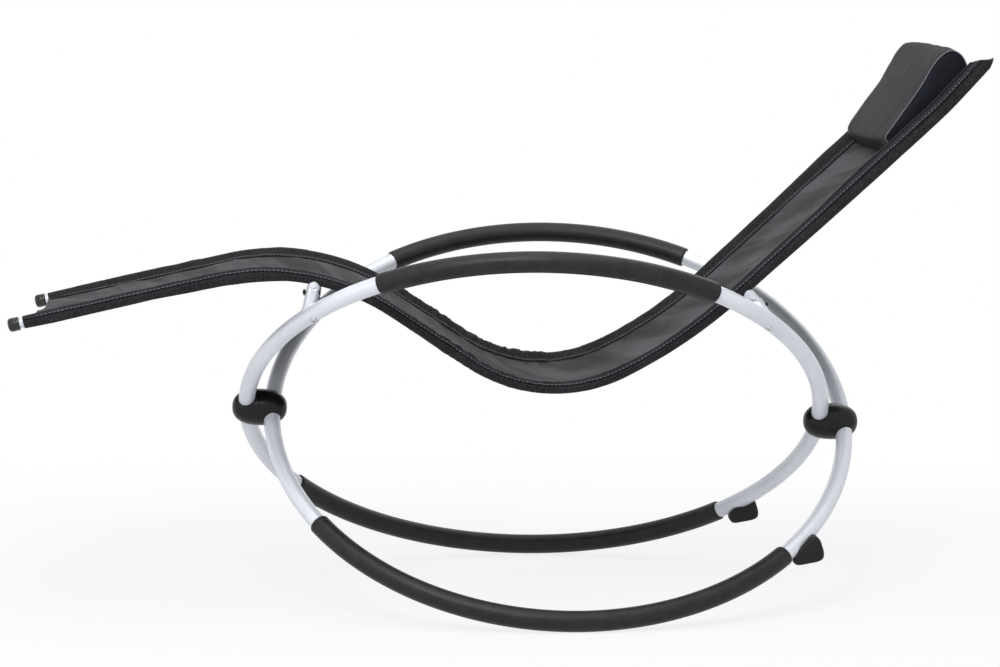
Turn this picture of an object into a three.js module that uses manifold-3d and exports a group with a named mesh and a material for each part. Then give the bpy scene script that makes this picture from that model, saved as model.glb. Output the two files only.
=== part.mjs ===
// Rocking chaise lounge. A long fabric sling hangs between two bent seat rails, and each rail is
// pinned to the two struts of one oval hoop. The hoops cross at a pivot block at the foot end and
// at another at the head end. The chair rocks on their lower halves, and it folds narrow when the
// hoops swing together about the line through the two blocks.
//
// Millimetres, +Z up, +X from the feet to the head, and the sitter's left is -Y. The pieces are
// drawn level about the pivot line, and the whole chair is then leaned back to how it rests.
import * as THREE from 'three';
import { mergeVertices } from 'three/addons/utils/BufferGeometryUtils.js';
import Module from 'manifold-3d';

// Clearances and overruns shared by all pieces
const seatGap = 0.3;
const weldGap = 0.3;
const runningGap = 0.8;
const overrun = 3;

// Hoops: an oval of bent tube, in two lengths that join under the arms
const hoopHalfLength = 440;
const hoopHalfWidth = 403;
const hoopLean = 50;
const hoopSpacing = 38.8;
const rockBack = 1.78;
const foldAngle = 38;
const tubeRadius = 12.5;
const tubeWall = 1.5;
const tubeSides = 10;
const stationStep = 10;
const spigotLength = 45;
const collarLength = 3;

// Foam grips, from end to end in degrees round the hoop from the head end
const foamRadius = 15.5;
const foamEnds = {
  left_arm: [56.6, 123.4],
  right_arm: [60.7, 126.2],
  left_rocker: [214.7, 318],
  right_rocker: [213.7, 316.5],
};

// Struts between arm and seat rail, with where they stand on each arm in degrees
const strutRadius = 9.5;
const strutBore = 7.5;
const strutAngles = {
  left: { front: 142.1, rear: 42 },
  right: { front: 151.3, rear: 51.5 },
};
const jointDrop = 3.2;
const strutSlant = { front: 6.3, rear: 0.3 };
const bracketDrop = 19.3;
const tongueThickness = 4;
const tongueHalfWidth = 7;
const pinRadius = 3;
const pinHeadRadius = 5.5;
const pinHeadHeight = 3.5;
const strutSides = 10;

// Screws that lock each tube joint
const screwRadius = 2.5;
const screwLength = 9;
const screwHeadRadius = 5;
const screwHeadHeight = 2.6;

// Pivot blocks, their bolts and washers
const blockHalfLength = 41.8;
const blockRadius = 28;
const blockRoundness = 2.4;
const blockSides = 22;
const blockSteps = 6;
const blockFaceGap = 0.8;
const boltRadius = 4;
const boltHeadRadius = 6.5;
const boltHeadHeight = 5;
const nutAcrossFlats = 13;
const nutHeight = 5.5;
const washerRadius = 15;
const washerThickness = 2;
const pocketGap = 0.5;

// Rear stops, moulded round the rocker tube behind its foam
const stopBehindFoam = 4;
const stopWidth = 34;
const stopBevel = 4;
const stopReachFront = 7;
const stopReachRear = 40;
const stopHeight = 14.5;
const stopDepth = 30.5;

// The stop's side outline, in shares of its reach to the rear, its height and its depth
const stopOutlineShares = {
  noseDepth: 0.5,
  slopeEnd: 0.6,
  shoulder: [0.75, 0.8],
  shoulderFall: 0.6,
  heel: [0.4, 0.7, 0.8],
  heelReach: 0.75,
};

// Seat rails: straight runs between bends, with their slopes in degrees
const railRadius = 8;
const railWall = 1.5;
const railSides = 8;
const railSpreadShare = 0.943;
const railSpread = railSpreadShare * hoopHalfWidth;
const footRun = 437.5;
const footSlope = 14.25;
const thighRun = 410.1;
const thighSlope = -31.95;
const lapRun = 231.8;
const lapSlope = 28.9;
const backRun = 504.9;
const backSlope = 44.2;
const headRun = 91.4;
const headSlope = 49;
const kneeRadius = 338;
const seatRadius = 223;
const lapRadius = 700;
const neckRadius = 529;
const bendStep = 9.3;
const seatCornerAhead = 13;
const seatCornerHeight = 29;

// Plugs in the ends of the rails
const footCapRadius = 10;
const footCapLength = 17;
const headCapLength = 3;
const plugLength = 16;
const capSides = 10;
const roundSteps = 3;

// Sling: a sleeve sewn round each rail, and the bed between them
const sleeveRadius = 10;
const sleeveInnerRadius = 8.6;
const sleeveFromFoot = 5;
const sleevePastHead = 5;
const bedThickness = 2;
const bedSag = 14;
const bedStrips = 10;
const bedFromFoot = 12;
const bedFromHead = 1;
const hemRecess = 12;
const cutOutGap = 0.6;

// Head pillow: a wedge that lies on the bed between the sleeves
const pillowSideGap = 15.5;
const pillowLength = 178;
const pillowFromHead = 10.5;
const pillowLowHeight = 18;
const pillowTopHeight = 49.5;
const pillowEdge = 5;
const pillowLowRound = 30;
const pillowTopRound = 15;
const pillowCrown = 5;
const pillowSettleShare = 0.25;
const pillowGap = 0.6;
const pillowSteps = 12;
const pillowStations = 8;

const wasm = await Module();
wasm.setup();

const { degToRad, radToDeg } = THREE.MathUtils;
const sine = (degrees) => Math.sin(degToRad(degrees));
const cosine = (degrees) => Math.cos(degToRad(degrees));

const finishes = {
  paintedTube: { color: 0xd3d7de, roughness: 0.35, metalness: 0.5 },
  foam: { color: 0x2c2c2e, roughness: 0.75, metalness: 0 },
  glossPlastic: { color: 0x131315, roughness: 0.3, metalness: 0 },
  zincSteel: { color: 0xb9bcc0, roughness: 0.35, metalness: 0.9 },
  nylon: { color: 0xe6e4dc, roughness: 0.5, metalness: 0 },
  bedFabric: { color: 0x505153, roughness: 0.85, metalness: 0 },
  sleeveFabric: { color: 0x29292b, roughness: 0.85, metalness: 0 },
  pillowFabric: { color: 0x3a3a3c, roughness: 0.85, metalness: 0 },
};

/** A polyline whose stations are also its steps, so a sweep puts one ring on each of them. */
class StationPath extends THREE.Curve {
  constructor(points) {
    super();
    this.points = points;
  }

  getUtoTmapping(u) {
    return u;
  }

  getPoint(t, target = new THREE.Vector3()) {
    const place = t * (this.points.length - 1);
    const index = Math.min(Math.floor(place), this.points.length - 2);
    return target.lerpVectors(this.points[index], this.points[index + 1], place - index);
  }

  getTangent(t, target = new THREE.Vector3()) {
    const last = this.points.length - 1;
    const index = Math.round(t * last);
    target.set(0, 0, 0);
    if (index > 0) target.add(direction(this.points[index - 1], this.points[index]));
    if (index < last) target.add(direction(this.points[index], this.points[index + 1]));
    return target.normalize();
  }
}

/** The unit direction from one point to another. */
function direction(from, to) {
  return to.clone().sub(from).normalize();
}

/** A closed solid from any closed geometry, turned to face outward. */
function solid(geometry) {
  const bare = geometry.clone();
  for (const name of Object.keys(bare.attributes)) {
    if (name !== 'position') bare.deleteAttribute(name);
  }
  const merged = mergeVertices(bare);
  const positions = Float32Array.from(merged.attributes.position.array);
  const corners = merged.index.array;
  const triangles = [];
  for (let i = 0; i < corners.length; i += 3) {
    const [a, b, c] = [corners[i], corners[i + 1], corners[i + 2]];
    if (a !== b && b !== c && c !== a) triangles.push([a, b, c]);
  }
  const vertex = (i) => new THREE.Vector3().fromArray(positions, 3 * i);
  const volume = triangles.reduce((sum, [a, b, c]) => sum + vertex(a).dot(vertex(b).cross(vertex(c))), 0);
  const facing = volume < 0 ? triangles.map(([a, b, c]) => [a, c, b]) : triangles;
  return new wasm.Manifold(new wasm.Mesh({
    numProp: 3,
    vertProperties: positions,
    triVerts: Uint32Array.from(facing.flat()),
  }));
}

/** The drawable geometry of a solid. */
function drawn(body) {
  const mesh = body.getMesh();
  const geometry = new THREE.BufferGeometry();
  geometry.setAttribute('position', new THREE.BufferAttribute(mesh.vertProperties, 3));
  geometry.setIndex(new THREE.BufferAttribute(mesh.triVerts, 1));
  geometry.computeVertexNormals();
  return geometry;
}

/** A named mesh from a solid. */
function piece(name, body, finish) {
  const mesh = new THREE.Mesh(drawn(body), new THREE.MeshStandardMaterial(finishes[finish]));
  mesh.name = name;
  return mesh;
}

/** A regular section with one flat square to a direction, given in degrees from the outer side. */
function section(radius, sides, facing) {
  const points = [];
  for (let i = sides; i > 0; i--) {
    const angle = facing + (360 * (i - 0.5)) / sides;
    points.push(new THREE.Vector2(-radius * sine(angle), -radius * cosine(angle)));
  }
  return points;
}

/** A tube or rod swept along flat stations. */
function sweep(points, outer, inner, sides, facing) {
  const shape = new THREE.Shape(section(outer, sides, facing));
  if (inner > 0) shape.holes.push(new THREE.Path(section(inner, sides, facing)));
  const extrudePath = new StationPath(points);
  return solid(new THREE.ExtrudeGeometry(shape, { steps: points.length - 1, extrudePath }));
}

/** A body turned about the X axis from its [radius, place] profile. */
function turned(profile, sides) {
  const points = profile.map(([radius, place]) => new THREE.Vector2(radius, place));
  const geometry = new THREE.LatheGeometry(points, sides);
  geometry.rotateZ(degToRad(-90));
  return solid(geometry);
}

/** A plain rod between two points. */
function rod(from, to, radius, sides) {
  const geometry = new THREE.CylinderGeometry(radius, radius, from.distanceTo(to), sides);
  const turn = new THREE.Quaternion().setFromUnitVectors(new THREE.Vector3(0, 1, 0), direction(from, to));
  geometry.applyQuaternion(turn);
  const middle = from.clone().lerp(to, 0.5);
  geometry.translate(middle.x, middle.y, middle.z);
  return solid(geometry);
}

/** A rod along X, centred on a point. */
function rodAlongX(centre, length, radius, sides) {
  const half = new THREE.Vector3(length / 2, 0, 0);
  return rod(centre.clone().sub(half), centre.clone().add(half), radius, sides);
}

/** The part of a polyline between two lengths along it. */
function between(points, from, to) {
  const kept = [];
  let walked = 0;
  for (let i = 0; i + 1 < points.length; i++) {
    const chord = points[i].distanceTo(points[i + 1]);
    if (walked >= from && walked <= to) kept.push(points[i].clone());
    for (const cut of [from, to]) {
      if (cut > walked && cut < walked + chord) {
        kept.push(points[i].clone().lerp(points[i + 1], (cut - walked) / chord));
      }
    }
    walked += chord;
  }
  if (to >= walked) kept.push(points.at(-1).clone());
  return kept;
}

/** A polyline with its ends moved out along their chords. */
function lengthened(points, before, after) {
  const longer = points.map((point) => point.clone());
  longer[0].addScaledVector(direction(points[1], points[0]), before);
  longer.at(-1).addScaledVector(direction(points.at(-2), points.at(-1)), after);
  return longer;
}

/** The full length of a polyline. */
function lengthOf(points) {
  return points.slice(1).reduce((sum, point, i) => sum + point.distanceTo(points[i]), 0);
}

/** A solid lofted through rings of equal count, each ring's second half returning under its first. */
function loft(rings) {
  const count = rings[0].length;
  const positions = rings.flat().flatMap((point) => point.toArray());
  const triangles = [];
  for (let i = 0; i + 1 < rings.length; i++) {
    for (let j = 0; j < count; j++) {
      const [a, b] = [i * count + j, i * count + ((j + 1) % count)];
      triangles.push(a, b, b + count, a, b + count, a + count);
    }
  }
  const end = (rings.length - 1) * count;
  for (let j = 0; j + 1 < count / 2; j++) {
    const [a, b, c, d] = [j, j + 1, count - 2 - j, count - 1 - j];
    triangles.push(a, c, b, a, d, c);
    triangles.push(end + a, end + b, end + c, end + a, end + c, end + d);
  }
  const geometry = new THREE.BufferGeometry();
  geometry.setAttribute('position', new THREE.Float32BufferAttribute(positions, 3));
  geometry.setIndex(triangles);
  return solid(geometry);
}

// Hoop stations: one chord is centred on the place where the leaned chair touches the floor
const hoopDrop = hoopHalfWidth * cosine(hoopLean);
const contactAngle = 270 + radToDeg(Math.atan((hoopHalfLength / hoopDrop) * Math.tan(degToRad(rockBack))));
const firstStation = contactAngle + stationStep / 2;

/** A point on the oval of a hoop, in its own plane. */
function onOval(angle) {
  return new THREE.Vector3(hoopHalfLength * cosine(angle), hoopHalfWidth * sine(angle), 0);
}

/** A point on the chords between the hoop's stations. */
function onHoop(angle) {
  const place = (angle - firstStation) / stationStep;
  const index = Math.floor(place);
  const before = onOval(firstStation + index * stationStep);
  const after = onOval(firstStation + (index + 1) * stationStep);
  return before.lerp(after, place - index);
}

/** The stations of a hoop from one angle to another. */
function hoopStations(from, to) {
  const points = [onHoop(from)];
  const index = Math.floor((from - firstStation) / stationStep) + 1;
  for (let angle = firstStation + index * stationStep; angle < to; angle += stationStep) {
    points.push(onOval(angle));
  }
  points.push(onHoop(to));
  return points;
}

// Where round the hoop the tubes cross the pivot line, and how far from the middle
const crossing = { front: 180, rear: 360 };
const pivotReach = { front: Math.abs(onHoop(crossing.front).x), rear: Math.abs(onHoop(crossing.rear).x) };

/** The corners and bends of a seat rail as stations, in the plane of the rail. */
function railStations() {
  const runs = [footRun, thighRun, lapRun, backRun, headRun];
  const headings = [footSlope, thighSlope, lapSlope, backSlope, headSlope]
    .map((slope) => new THREE.Vector3(cosine(slope), sine(slope), 0));
  const radii = [kneeRadius, seatRadius, lapRadius, neckRadius];
  const corners = [new THREE.Vector3(-seatCornerAhead, seatCornerHeight, 0)];
  for (const i of [1, 0]) corners.unshift(corners[0].clone().addScaledVector(headings[i], -runs[i]));
  for (const i of [2, 3, 4]) corners.push(corners.at(-1).clone().addScaledVector(headings[i], runs[i]));
  const points = [corners[0]];
  radii.forEach((radius, i) => {
    const turn = headings[i].angleTo(headings[i + 1]);
    const side = Math.sign(headings[i].x * headings[i + 1].y - headings[i].y * headings[i + 1].x);
    const start = corners[i + 1].clone().addScaledVector(headings[i], -radius * Math.tan(turn / 2));
    const inward = new THREE.Vector3(-headings[i].y, headings[i].x, 0).multiplyScalar(side * radius);
    const centre = start.clone().add(inward);
    const steps = Math.ceil(radToDeg(turn) / bendStep);
    for (let step = 0; step <= steps; step++) {
      const arm = inward.clone().negate();
      arm.applyAxisAngle(new THREE.Vector3(0, 0, 1), (side * turn * step) / steps);
      points.push(centre.clone().add(arm));
    }
  });
  points.push(corners.at(-1));
  return points;
}

const rail = railStations();
const railLength = lengthOf(rail);

/** The place and the up side of the rail at a length along it from the foot. */
function railFrame(length) {
  let walked = 0;
  let index = 0;
  while (index < rail.length - 2 && walked + rail[index].distanceTo(rail[index + 1]) < length) {
    walked += rail[index].distanceTo(rail[index + 1]);
    index += 1;
  }
  const heading = direction(rail[index], rail[index + 1]);
  return {
    point: rail[index].clone().addScaledVector(heading, length - walked),
    heading,
    up: new THREE.Vector3(-heading.y, heading.x, 0),
  };
}

/** The rail's centre point nearest to a point in its plane. */
function nearestOnRail(point) {
  let best = rail[0];
  for (let i = 0; i + 1 < rail.length; i++) {
    const chord = new THREE.Line3(rail[i], rail[i + 1]);
    const found = chord.closestPointToPoint(point, true, new THREE.Vector3());
    if (found.distanceTo(point) < best.distanceTo(point)) best = found;
  }
  return best;
}

/** The height of the rail's centre line at a place along X. */
function railHeight(x) {
  const index = rail.findIndex((point, i) => i > 0 && point.x >= x);
  const [before, after] = [rail[index - 1], rail[index]];
  return before.y + ((after.y - before.y) * (x - before.x)) / (after.x - before.x);
}

/** Where the struts of one end are pinned along the chair: close over the right strut's foot. */
function pivotPlace(end) {
  return onHoop(strutAngles.right[end]).x + hoopSpacing / 2 + strutSlant[end];
}

// All four pins lie at one height, below the lower of the two places on a rail
const places = { front: pivotPlace('front'), rear: pivotPlace('rear') };
const pivotHeight = Math.min(railHeight(places.front), railHeight(places.rear)) - bracketDrop;
const pivots = {
  front: new THREE.Vector3(places.front, pivotHeight, 0),
  rear: new THREE.Vector3(places.rear, pivotHeight, 0),
};

/** The least angle between a strut, seen from its pivot, and straight up, over the whole fold. */
function forkAngle(name, end) {
  const base = onHoop(strutAngles[name][end]).y;
  const outward = base * sine(hoopLean) - railSpread / 2;
  const rise = base * cosine(hoopLean) - pivotHeight;
  const turn = radToDeg(Math.atan2(outward, rise));
  const folded = Math.abs(((turn - foldAngle + 540) % 360) - 180);
  return Math.min(Math.abs(turn), folded);
}

/** What a seat rail carries for one strut: a stub under the tube, and a tongue with an eye. */
function bracket(name, end, grow) {
  const pivot = pivots[end];
  const foot = nearestOnRail(pivot);
  const top = new THREE.Vector3(pivot.x, railHeight(pivot.x), 0);
  // The stub ends where the strut's shoulder passes below it
  const angle = forkAngle(name, end);
  const shoulder = railRadius / Math.tan(degToRad(angle)) + strutRadius / sine(angle);
  const clear = Math.max(strutRadius, Math.hypot(railRadius, shoulder)) + runningGap;
  const stub = rod(foot, pivot, railRadius + grow, strutSides)
    .subtract(rodAlongX(pivot, 6 * railRadius, clear - grow, strutSides));
  const plate = new THREE.BoxGeometry(
    tongueThickness + 2 * grow, top.y - pivot.y, 2 * (tongueHalfWidth + grow));
  plate.translate(pivot.x, (top.y + pivot.y) / 2, 0);
  const eye = rodAlongX(pivot, tongueThickness + 2 * grow, tongueHalfWidth + grow, strutSides);
  return stub.add(solid(plate)).add(eye);
}

/** A bent seat rail with its two brackets. */
function seatRail(name) {
  let body = sweep(rail, railRadius, 0, railSides, 0);
  for (const end of Object.keys(pivots)) body = body.add(bracket(name, end, 0));
  body = body.subtract(sweep(lengthened(rail, overrun, overrun), railRadius - railWall, 0, railSides, 0));
  for (const pivot of Object.values(pivots)) {
    body = body.subtract(rodAlongX(pivot, 4 * railRadius, pinRadius + seatGap, capSides));
  }
  return body;
}

/** The sleeve round a rail, open below where the brackets come through. */
function sleeve(name) {
  const stations = lengthened(between(rail, sleeveFromFoot, railLength), 0, sleevePastHead);
  let body = sweep(stations, sleeveRadius, sleeveInnerRadius, railSides, 0);
  for (const [end, pivot] of Object.entries(pivots)) {
    body = body.subtract(bracket(name, end, cutOutGap));
    body = body.subtract(rodAlongX(pivot, 4 * strutRadius, strutRadius + cutOutGap, strutSides));
  }
  return body;
}

/** A plug in the end of a rail, drawn along X with its shoulder at zero and its head before it. */
function railPlug(headRadius, headLength) {
  const shank = railRadius - railWall - seatGap;
  const shankRadius = shank * cosine(180 / railSides);
  const profile = [[0, -headLength]];
  const round = Math.min(headRadius, headLength) / 2;
  for (let i = 0; i <= roundSteps; i++) {
    const angle = (90 * i) / roundSteps;
    profile.push([headRadius - round + round * sine(angle), -headLength + round - round * cosine(angle)]);
  }
  profile.push([headRadius, -seatGap], [shankRadius, -seatGap], [shankRadius, plugLength], [0, plugLength]);
  return turned(profile, capSides);
}

/** A plug turned and moved to its end of the rail, in the plane of the rail. */
function seatedPlug(name, body, end) {
  const mesh = piece(name, body, 'glossPlastic');
  const { point, heading } = railFrame(end < 0 ? 0 : railLength);
  mesh.position.copy(point);
  mesh.rotation.z = Math.atan2(heading.y, heading.x) + (end < 0 ? 0 : Math.PI);
  return mesh;
}

/** A pin along X with a low round head at each end. */
function hingePin(strutHalfExtent) {
  const half = strutHalfExtent + seatGap;
  const profile = [[0, -half - pinHeadHeight]];
  const cap = [];
  for (let i = 1; i <= roundSteps; i++) {
    const angle = (90 * i) / roundSteps;
    cap.push([pinHeadRadius * sine(angle), half + pinHeadHeight * cosine(angle)]);
  }
  profile.push(...cap.map(([radius, place]) => [radius, -place]), [pinRadius, -half], [pinRadius, half]);
  profile.push(...cap.reverse(), [0, half + pinHeadHeight]);
  return turned(profile, capSides);
}

/** One half of a pivot block, turned about the pivot line, with room for the washer and the bolt. */
function blockHalf(side, pocketRadius, pocketEnd) {
  const profile = [[0, blockHalfLength]];
  for (let i = 1; i <= blockSteps; i++) {
    const angle = (90 * i) / blockSteps;
    const place = blockHalfLength * cosine(angle) ** (2 / blockRoundness);
    const radius = blockRadius * sine(angle) ** (2 / blockRoundness);
    profile.push([radius, Math.max(place, blockFaceGap / 2)]);
  }
  const seat = washerThickness / 2 + seatGap;
  const reach = washerRadius + seatGap;
  const bore = boltRadius + seatGap;
  const pocketStart = hoopSpacing / 2;
  profile.push([reach, blockFaceGap / 2], [reach, seat], [bore, seat], [bore, pocketStart]);
  profile.push([pocketRadius, pocketStart], [pocketRadius, pocketEnd], [0, pocketEnd]);
  return turned(profile.map(([radius, place]) => [radius, side * place]), blockSides);
}

/** The pivot bolt along X, its head on the outer side of the block. */
function pivotBolt() {
  const seat = hoopSpacing / 2 + tubeRadius + runningGap;
  const crown = seat + boltHeadHeight;
  const rounding = boltHeadHeight / 2;
  return turned([
    [0, crown], [boltHeadRadius - rounding, crown], [boltHeadRadius, crown - rounding],
    [boltHeadRadius, seat], [boltRadius, seat], [boltRadius, -seat - nutHeight], [0, -seat - nutHeight],
  ], capSides);
}

/** The nut on the inner side of the block. */
function pivotNut() {
  const corner = nutAcrossFlats / 2 / cosine(30);
  const shape = new THREE.Shape(section(corner, 6, 0));
  shape.holes.push(new THREE.Path(section(boltRadius + seatGap, capSides, 0)));
  const geometry = new THREE.ExtrudeGeometry(shape, { depth: nutHeight, bevelEnabled: false });
  geometry.rotateY(degToRad(90));
  geometry.translate(-hoopSpacing / 2 - tubeRadius - runningGap - nutHeight, 0, 0);
  return solid(geometry);
}

/** The slippery washer that parts the two halves of a block. */
function thrustWasher() {
  const [inner, half] = [boltRadius + seatGap, washerThickness / 2];
  return turned([
    [inner, -half], [washerRadius, -half], [washerRadius, half], [inner, half], [inner, -half],
  ], blockSides);
}

/** A domed screw along Z with its head above. */
function jointScrew() {
  const base = tubeRadius + seatGap;
  const profile = [[0, base + screwHeadHeight]];
  for (let i = 1; i <= roundSteps; i++) {
    const angle = (90 * i) / roundSteps;
    profile.push([screwHeadRadius * sine(angle), base + screwHeadHeight * cosine(angle)]);
  }
  profile.push([screwRadius, base], [screwRadius, base - screwLength], [0, base - screwLength]);
  return turned(profile, capSides).rotate([0, -90, 0]);
}

/** Everything that belongs to one hoop: side is -1 for the left arm's hoop and 1 for the right's. */
function hoop(side) {
  const [arm, far] = side < 0 ? ['left', 'right'] : ['right', 'left'];
  const group = new THREE.Group();
  group.rotation.x = degToRad(90 - side * hoopLean);
  group.position.x = (side * hoopSpacing) / 2;
  group.updateMatrix();
  const toHoop = group.matrix.clone().invert();
  const facing = -side * hoopLean;
  const angles = strutAngles[arm];
  const joints = { front: angles.front + jointDrop, rear: angles.rear - jointDrop };
  const tube = (from, to, outer, inner) => sweep(hoopStations(from, to), outer, inner, tubeSides, facing);
  const outward = -side;

  // The tubes, with a screw hole at each joint and a bolt hole at each pivot
  const spigotTurn = radToDeg(spigotLength / hoopHalfLength);
  const collarTurn = radToDeg(collarLength / hoopHalfLength);
  const partTurn = radToDeg(weldGap / hoopHalfWidth);
  const spigotRadius = tubeRadius - tubeWall - seatGap;
  const spigotBore = spigotRadius - tubeWall;
  const armTube = tube(joints.rear + partTurn, joints.front - partTurn, tubeRadius, tubeRadius - tubeWall);
  const [start, end] = [joints.front, joints.rear + crossing.rear];
  const rockerTube = tube(start, end, tubeRadius, 0)
    .add(tube(start - spigotTurn, start + collarTurn, spigotRadius, 0))
    .add(tube(end - collarTurn, end + spigotTurn, spigotRadius, 0))
    .subtract(tube(start + collarTurn, end - collarTurn, tubeRadius - tubeWall, 0))
    .subtract(tube(start - spigotTurn - collarTurn, start + 2 * collarTurn, spigotBore, 0))
    .subtract(tube(end - 2 * collarTurn, end + spigotTurn + collarTurn, spigotBore, 0));
  const screwHoles = ['front', 'rear'].map((end) => {
    const foot = onHoop(angles[end]);
    const head = foot.clone();
    head.z = outward * (tubeRadius + overrun);
    return rod(foot, head, screwRadius + seatGap, capSides);
  });
  const boltHoles = [-pivotReach.front, pivotReach.rear].map((x) => rodAlongX(
    new THREE.Vector3(x, 0, 0), 4 * tubeRadius, boltRadius + seatGap, capSides));
  const drilled = (body, cuts) => cuts.reduce((rest, cut) => rest.subtract(cut), body);
  group.add(piece(`${arm}_arm_tube`, drilled(armTube, screwHoles), 'paintedTube'));
  group.add(piece(`${far}_rocker_tube`, drilled(rockerTube, [...screwHoles, ...boltHoles]), 'paintedTube'));

  // The foam grips
  for (const grip of [`${arm}_arm`, `${far}_rocker`]) {
    const body = tube(...foamEnds[grip], foamRadius, tubeRadius + seatGap);
    group.add(piece(`${grip}_foam`, body, 'foam'));
  }

  // The struts and the screws under them
  for (const end of ['front', 'rear']) {
    const base = onHoop(angles[end]);
    const pivot = new THREE.Vector3(pivots[end].x, (side * railSpread) / 2, pivots[end].y);
    pivot.applyMatrix4(toHoop);
    const around = tube(angles[end] - stationStep, angles[end] + stationStep, tubeRadius + weldGap, 0);
    const body = strut(base, pivot, forkAngle(arm, end)).subtract(around);
    group.add(piece(`${arm}_${end}_strut`, body, 'paintedTube'));
    const screw = piece(`${arm}_${end}_screw`, jointScrew(), 'zincSteel');
    screw.position.copy(base);
    screw.rotation.x = outward < 0 ? Math.PI : 0;
    group.add(screw);
  }

  // Its halves of the two pivot blocks
  for (const [end, place] of [[-1, 'front'], [1, 'rear']]) {
    const isOuter = side === end;
    const pocketRadius = (isOuter ? boltHeadRadius : nutAcrossFlats / 2 / cosine(30)) + pocketGap;
    const pocketDepth = (isOuter ? boltHeadHeight : nutHeight) + runningGap + pocketGap;
    const pocketEnd = hoopSpacing / 2 + tubeRadius + pocketDepth;
    const centre = end * pivotReach[place] - (side * hoopSpacing) / 2;
    const bore = tube(
      crossing[place] - 2 * stationStep, crossing[place] + 2 * stationStep, tubeRadius + seatGap, 0);
    const block = blockHalf(side, pocketRadius, pocketEnd).translate([centre, 0, 0]).subtract(bore);
    group.add(piece(`${arm}_${place}_knuckle`, block, 'glossPlastic'));
  }

  // The rear stop on its rocker
  const stopAngle = foamEnds[`${far}_rocker`][1] + stopBehindFoam;
  const stopBore = tube(stopAngle - 2 * stationStep, stopAngle + 2 * stationStep, tubeRadius + seatGap, 0);
  const stopBody = rearStop(stopAngle, group, toHoop).subtract(stopBore);
  group.add(piece(`${far}_rear_stop`, stopBody, 'glossPlastic'));
  return group;
}

/** A strut from the arm tube to its pivot, forked round the seat rail's tongue. */
function strut(base, pivot, tightest) {
  const axis = direction(pivot, base);
  const beyond = pivot.clone().addScaledVector(axis, -strutRadius);
  const eye = rod(pivot, beyond, strutRadius, strutSides)
    .intersect(rodAlongX(pivot, 4 * strutRadius, strutRadius, strutSides));
  // The slot lies across the fork and is as deep as the tongue needs over the whole fold
  const exit = (strutRadius + tongueHalfWidth * cosine(tightest)) / sine(tightest);
  const depth = tongueHalfWidth * sine(tightest) + Math.max(0, cosine(tightest)) * exit;
  const slotDepth = Math.max(tongueHalfWidth, depth) + runningGap;
  const slot = new THREE.BoxGeometry(
    tongueThickness + 2 * seatGap, slotDepth + strutRadius + overrun, 4 * strutRadius);
  slot.translate(0, (slotDepth - strutRadius - overrun) / 2, 0);
  slot.rotateX(Math.atan2(axis.z, axis.y));
  slot.translate(pivot.x, pivot.y, pivot.z);
  const boreTop = pivot.clone().addScaledVector(axis, slotDepth + tubeWall);
  return rod(base, pivot, strutRadius, strutSides)
    .subtract(rod(base, boreTop, strutBore, strutSides))
    .add(eye)
    .subtract(solid(slot))
    .subtract(rodAlongX(pivot, 4 * strutRadius, pinRadius + seatGap, capSides));
}

/** The wedge-shaped stop round a rocker tube, in the hoop's own frame. */
function rearStop(angle, group, toHoop) {
  const centre = onHoop(angle).applyMatrix4(group.matrix);
  const [front, rear] = [stopReachFront - stopBevel, stopReachRear - stopBevel];
  const [top, foot] = [stopHeight - stopBevel, stopDepth - stopBevel];
  const { noseDepth, slopeEnd, shoulder, shoulderFall, heel, heelReach } = stopOutlineShares;
  const outline = new THREE.Shape();
  outline.moveTo(-front, -foot * noseDepth);
  outline.lineTo(rear * slopeEnd, top);
  outline.quadraticCurveTo(rear * shoulder[0], top, rear * shoulder[1], top * shoulderFall);
  outline.lineTo(rear, -foot * heel[0]);
  outline.quadraticCurveTo(rear, -foot * heel[1], rear * heelReach, -foot * heel[2]);
  outline.lineTo(0, -foot);
  outline.quadraticCurveTo(-front, -foot, -front, -foot * noseDepth);
  const geometry = new THREE.ExtrudeGeometry(outline, {
    depth: stopWidth - 2 * stopBevel,
    curveSegments: roundSteps,
    bevelThickness: stopBevel,
    bevelSize: stopBevel,
    bevelSegments: 2,
  });
  geometry.translate(0, 0, -stopWidth / 2 + stopBevel);
  geometry.rotateX(degToRad(90));
  geometry.translate(centre.x, centre.y, centre.z);
  geometry.applyMatrix4(toHoop);
  return solid(geometry);
}

/** What one seat rail carries, in a group that stands its flat drawing upright. */
function railSide(side) {
  const name = side < 0 ? 'left' : 'right';
  const group = new THREE.Group();
  group.rotation.x = degToRad(90);
  group.position.y = (side * railSpread) / 2;
  group.add(piece(`${name}_seat_rail`, seatRail(name), 'paintedTube'));
  group.add(piece(`${name}_sleeve`, sleeve(name), 'sleeveFabric'));
  group.add(seatedPlug(`${name}_foot_cap`, railPlug(footCapRadius, footCapLength), -1));
  group.add(seatedPlug(`${name}_head_cap`, railPlug(railRadius * cosine(180 / railSides), headCapLength), 1));
  for (const [end, pivot] of Object.entries(pivots)) {
    const base = onHoop(strutAngles[name][end]);
    const lean = Math.abs(base.x + (side * hoopSpacing) / 2 - pivot.x);
    const rise = Math.hypot(lean, pivot.y - base.y * cosine(hoopLean));
    const slope = lean / rise;
    const extent = strutRadius / Math.sqrt(1 - slope ** 2) + pinHeadRadius * slope;
    const pin = piece(`${name}_${end}_hinge_pin`, hingePin(extent), 'glossPlastic');
    pin.position.copy(pivot);
    group.add(pin);
  }
  return group;
}

/** How far the bed hangs below the rails' centre plane, at a place across it. */
function sagAt(across) {
  return bedSag * (1 - (across / bedHalfWidth) ** 2);
}

const bedHalfWidth = railSpread / 2 - sleeveRadius * cosine(180 / railSides) - seatGap;
const pillowHalfWidth = bedHalfWidth - pillowSideGap;

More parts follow.
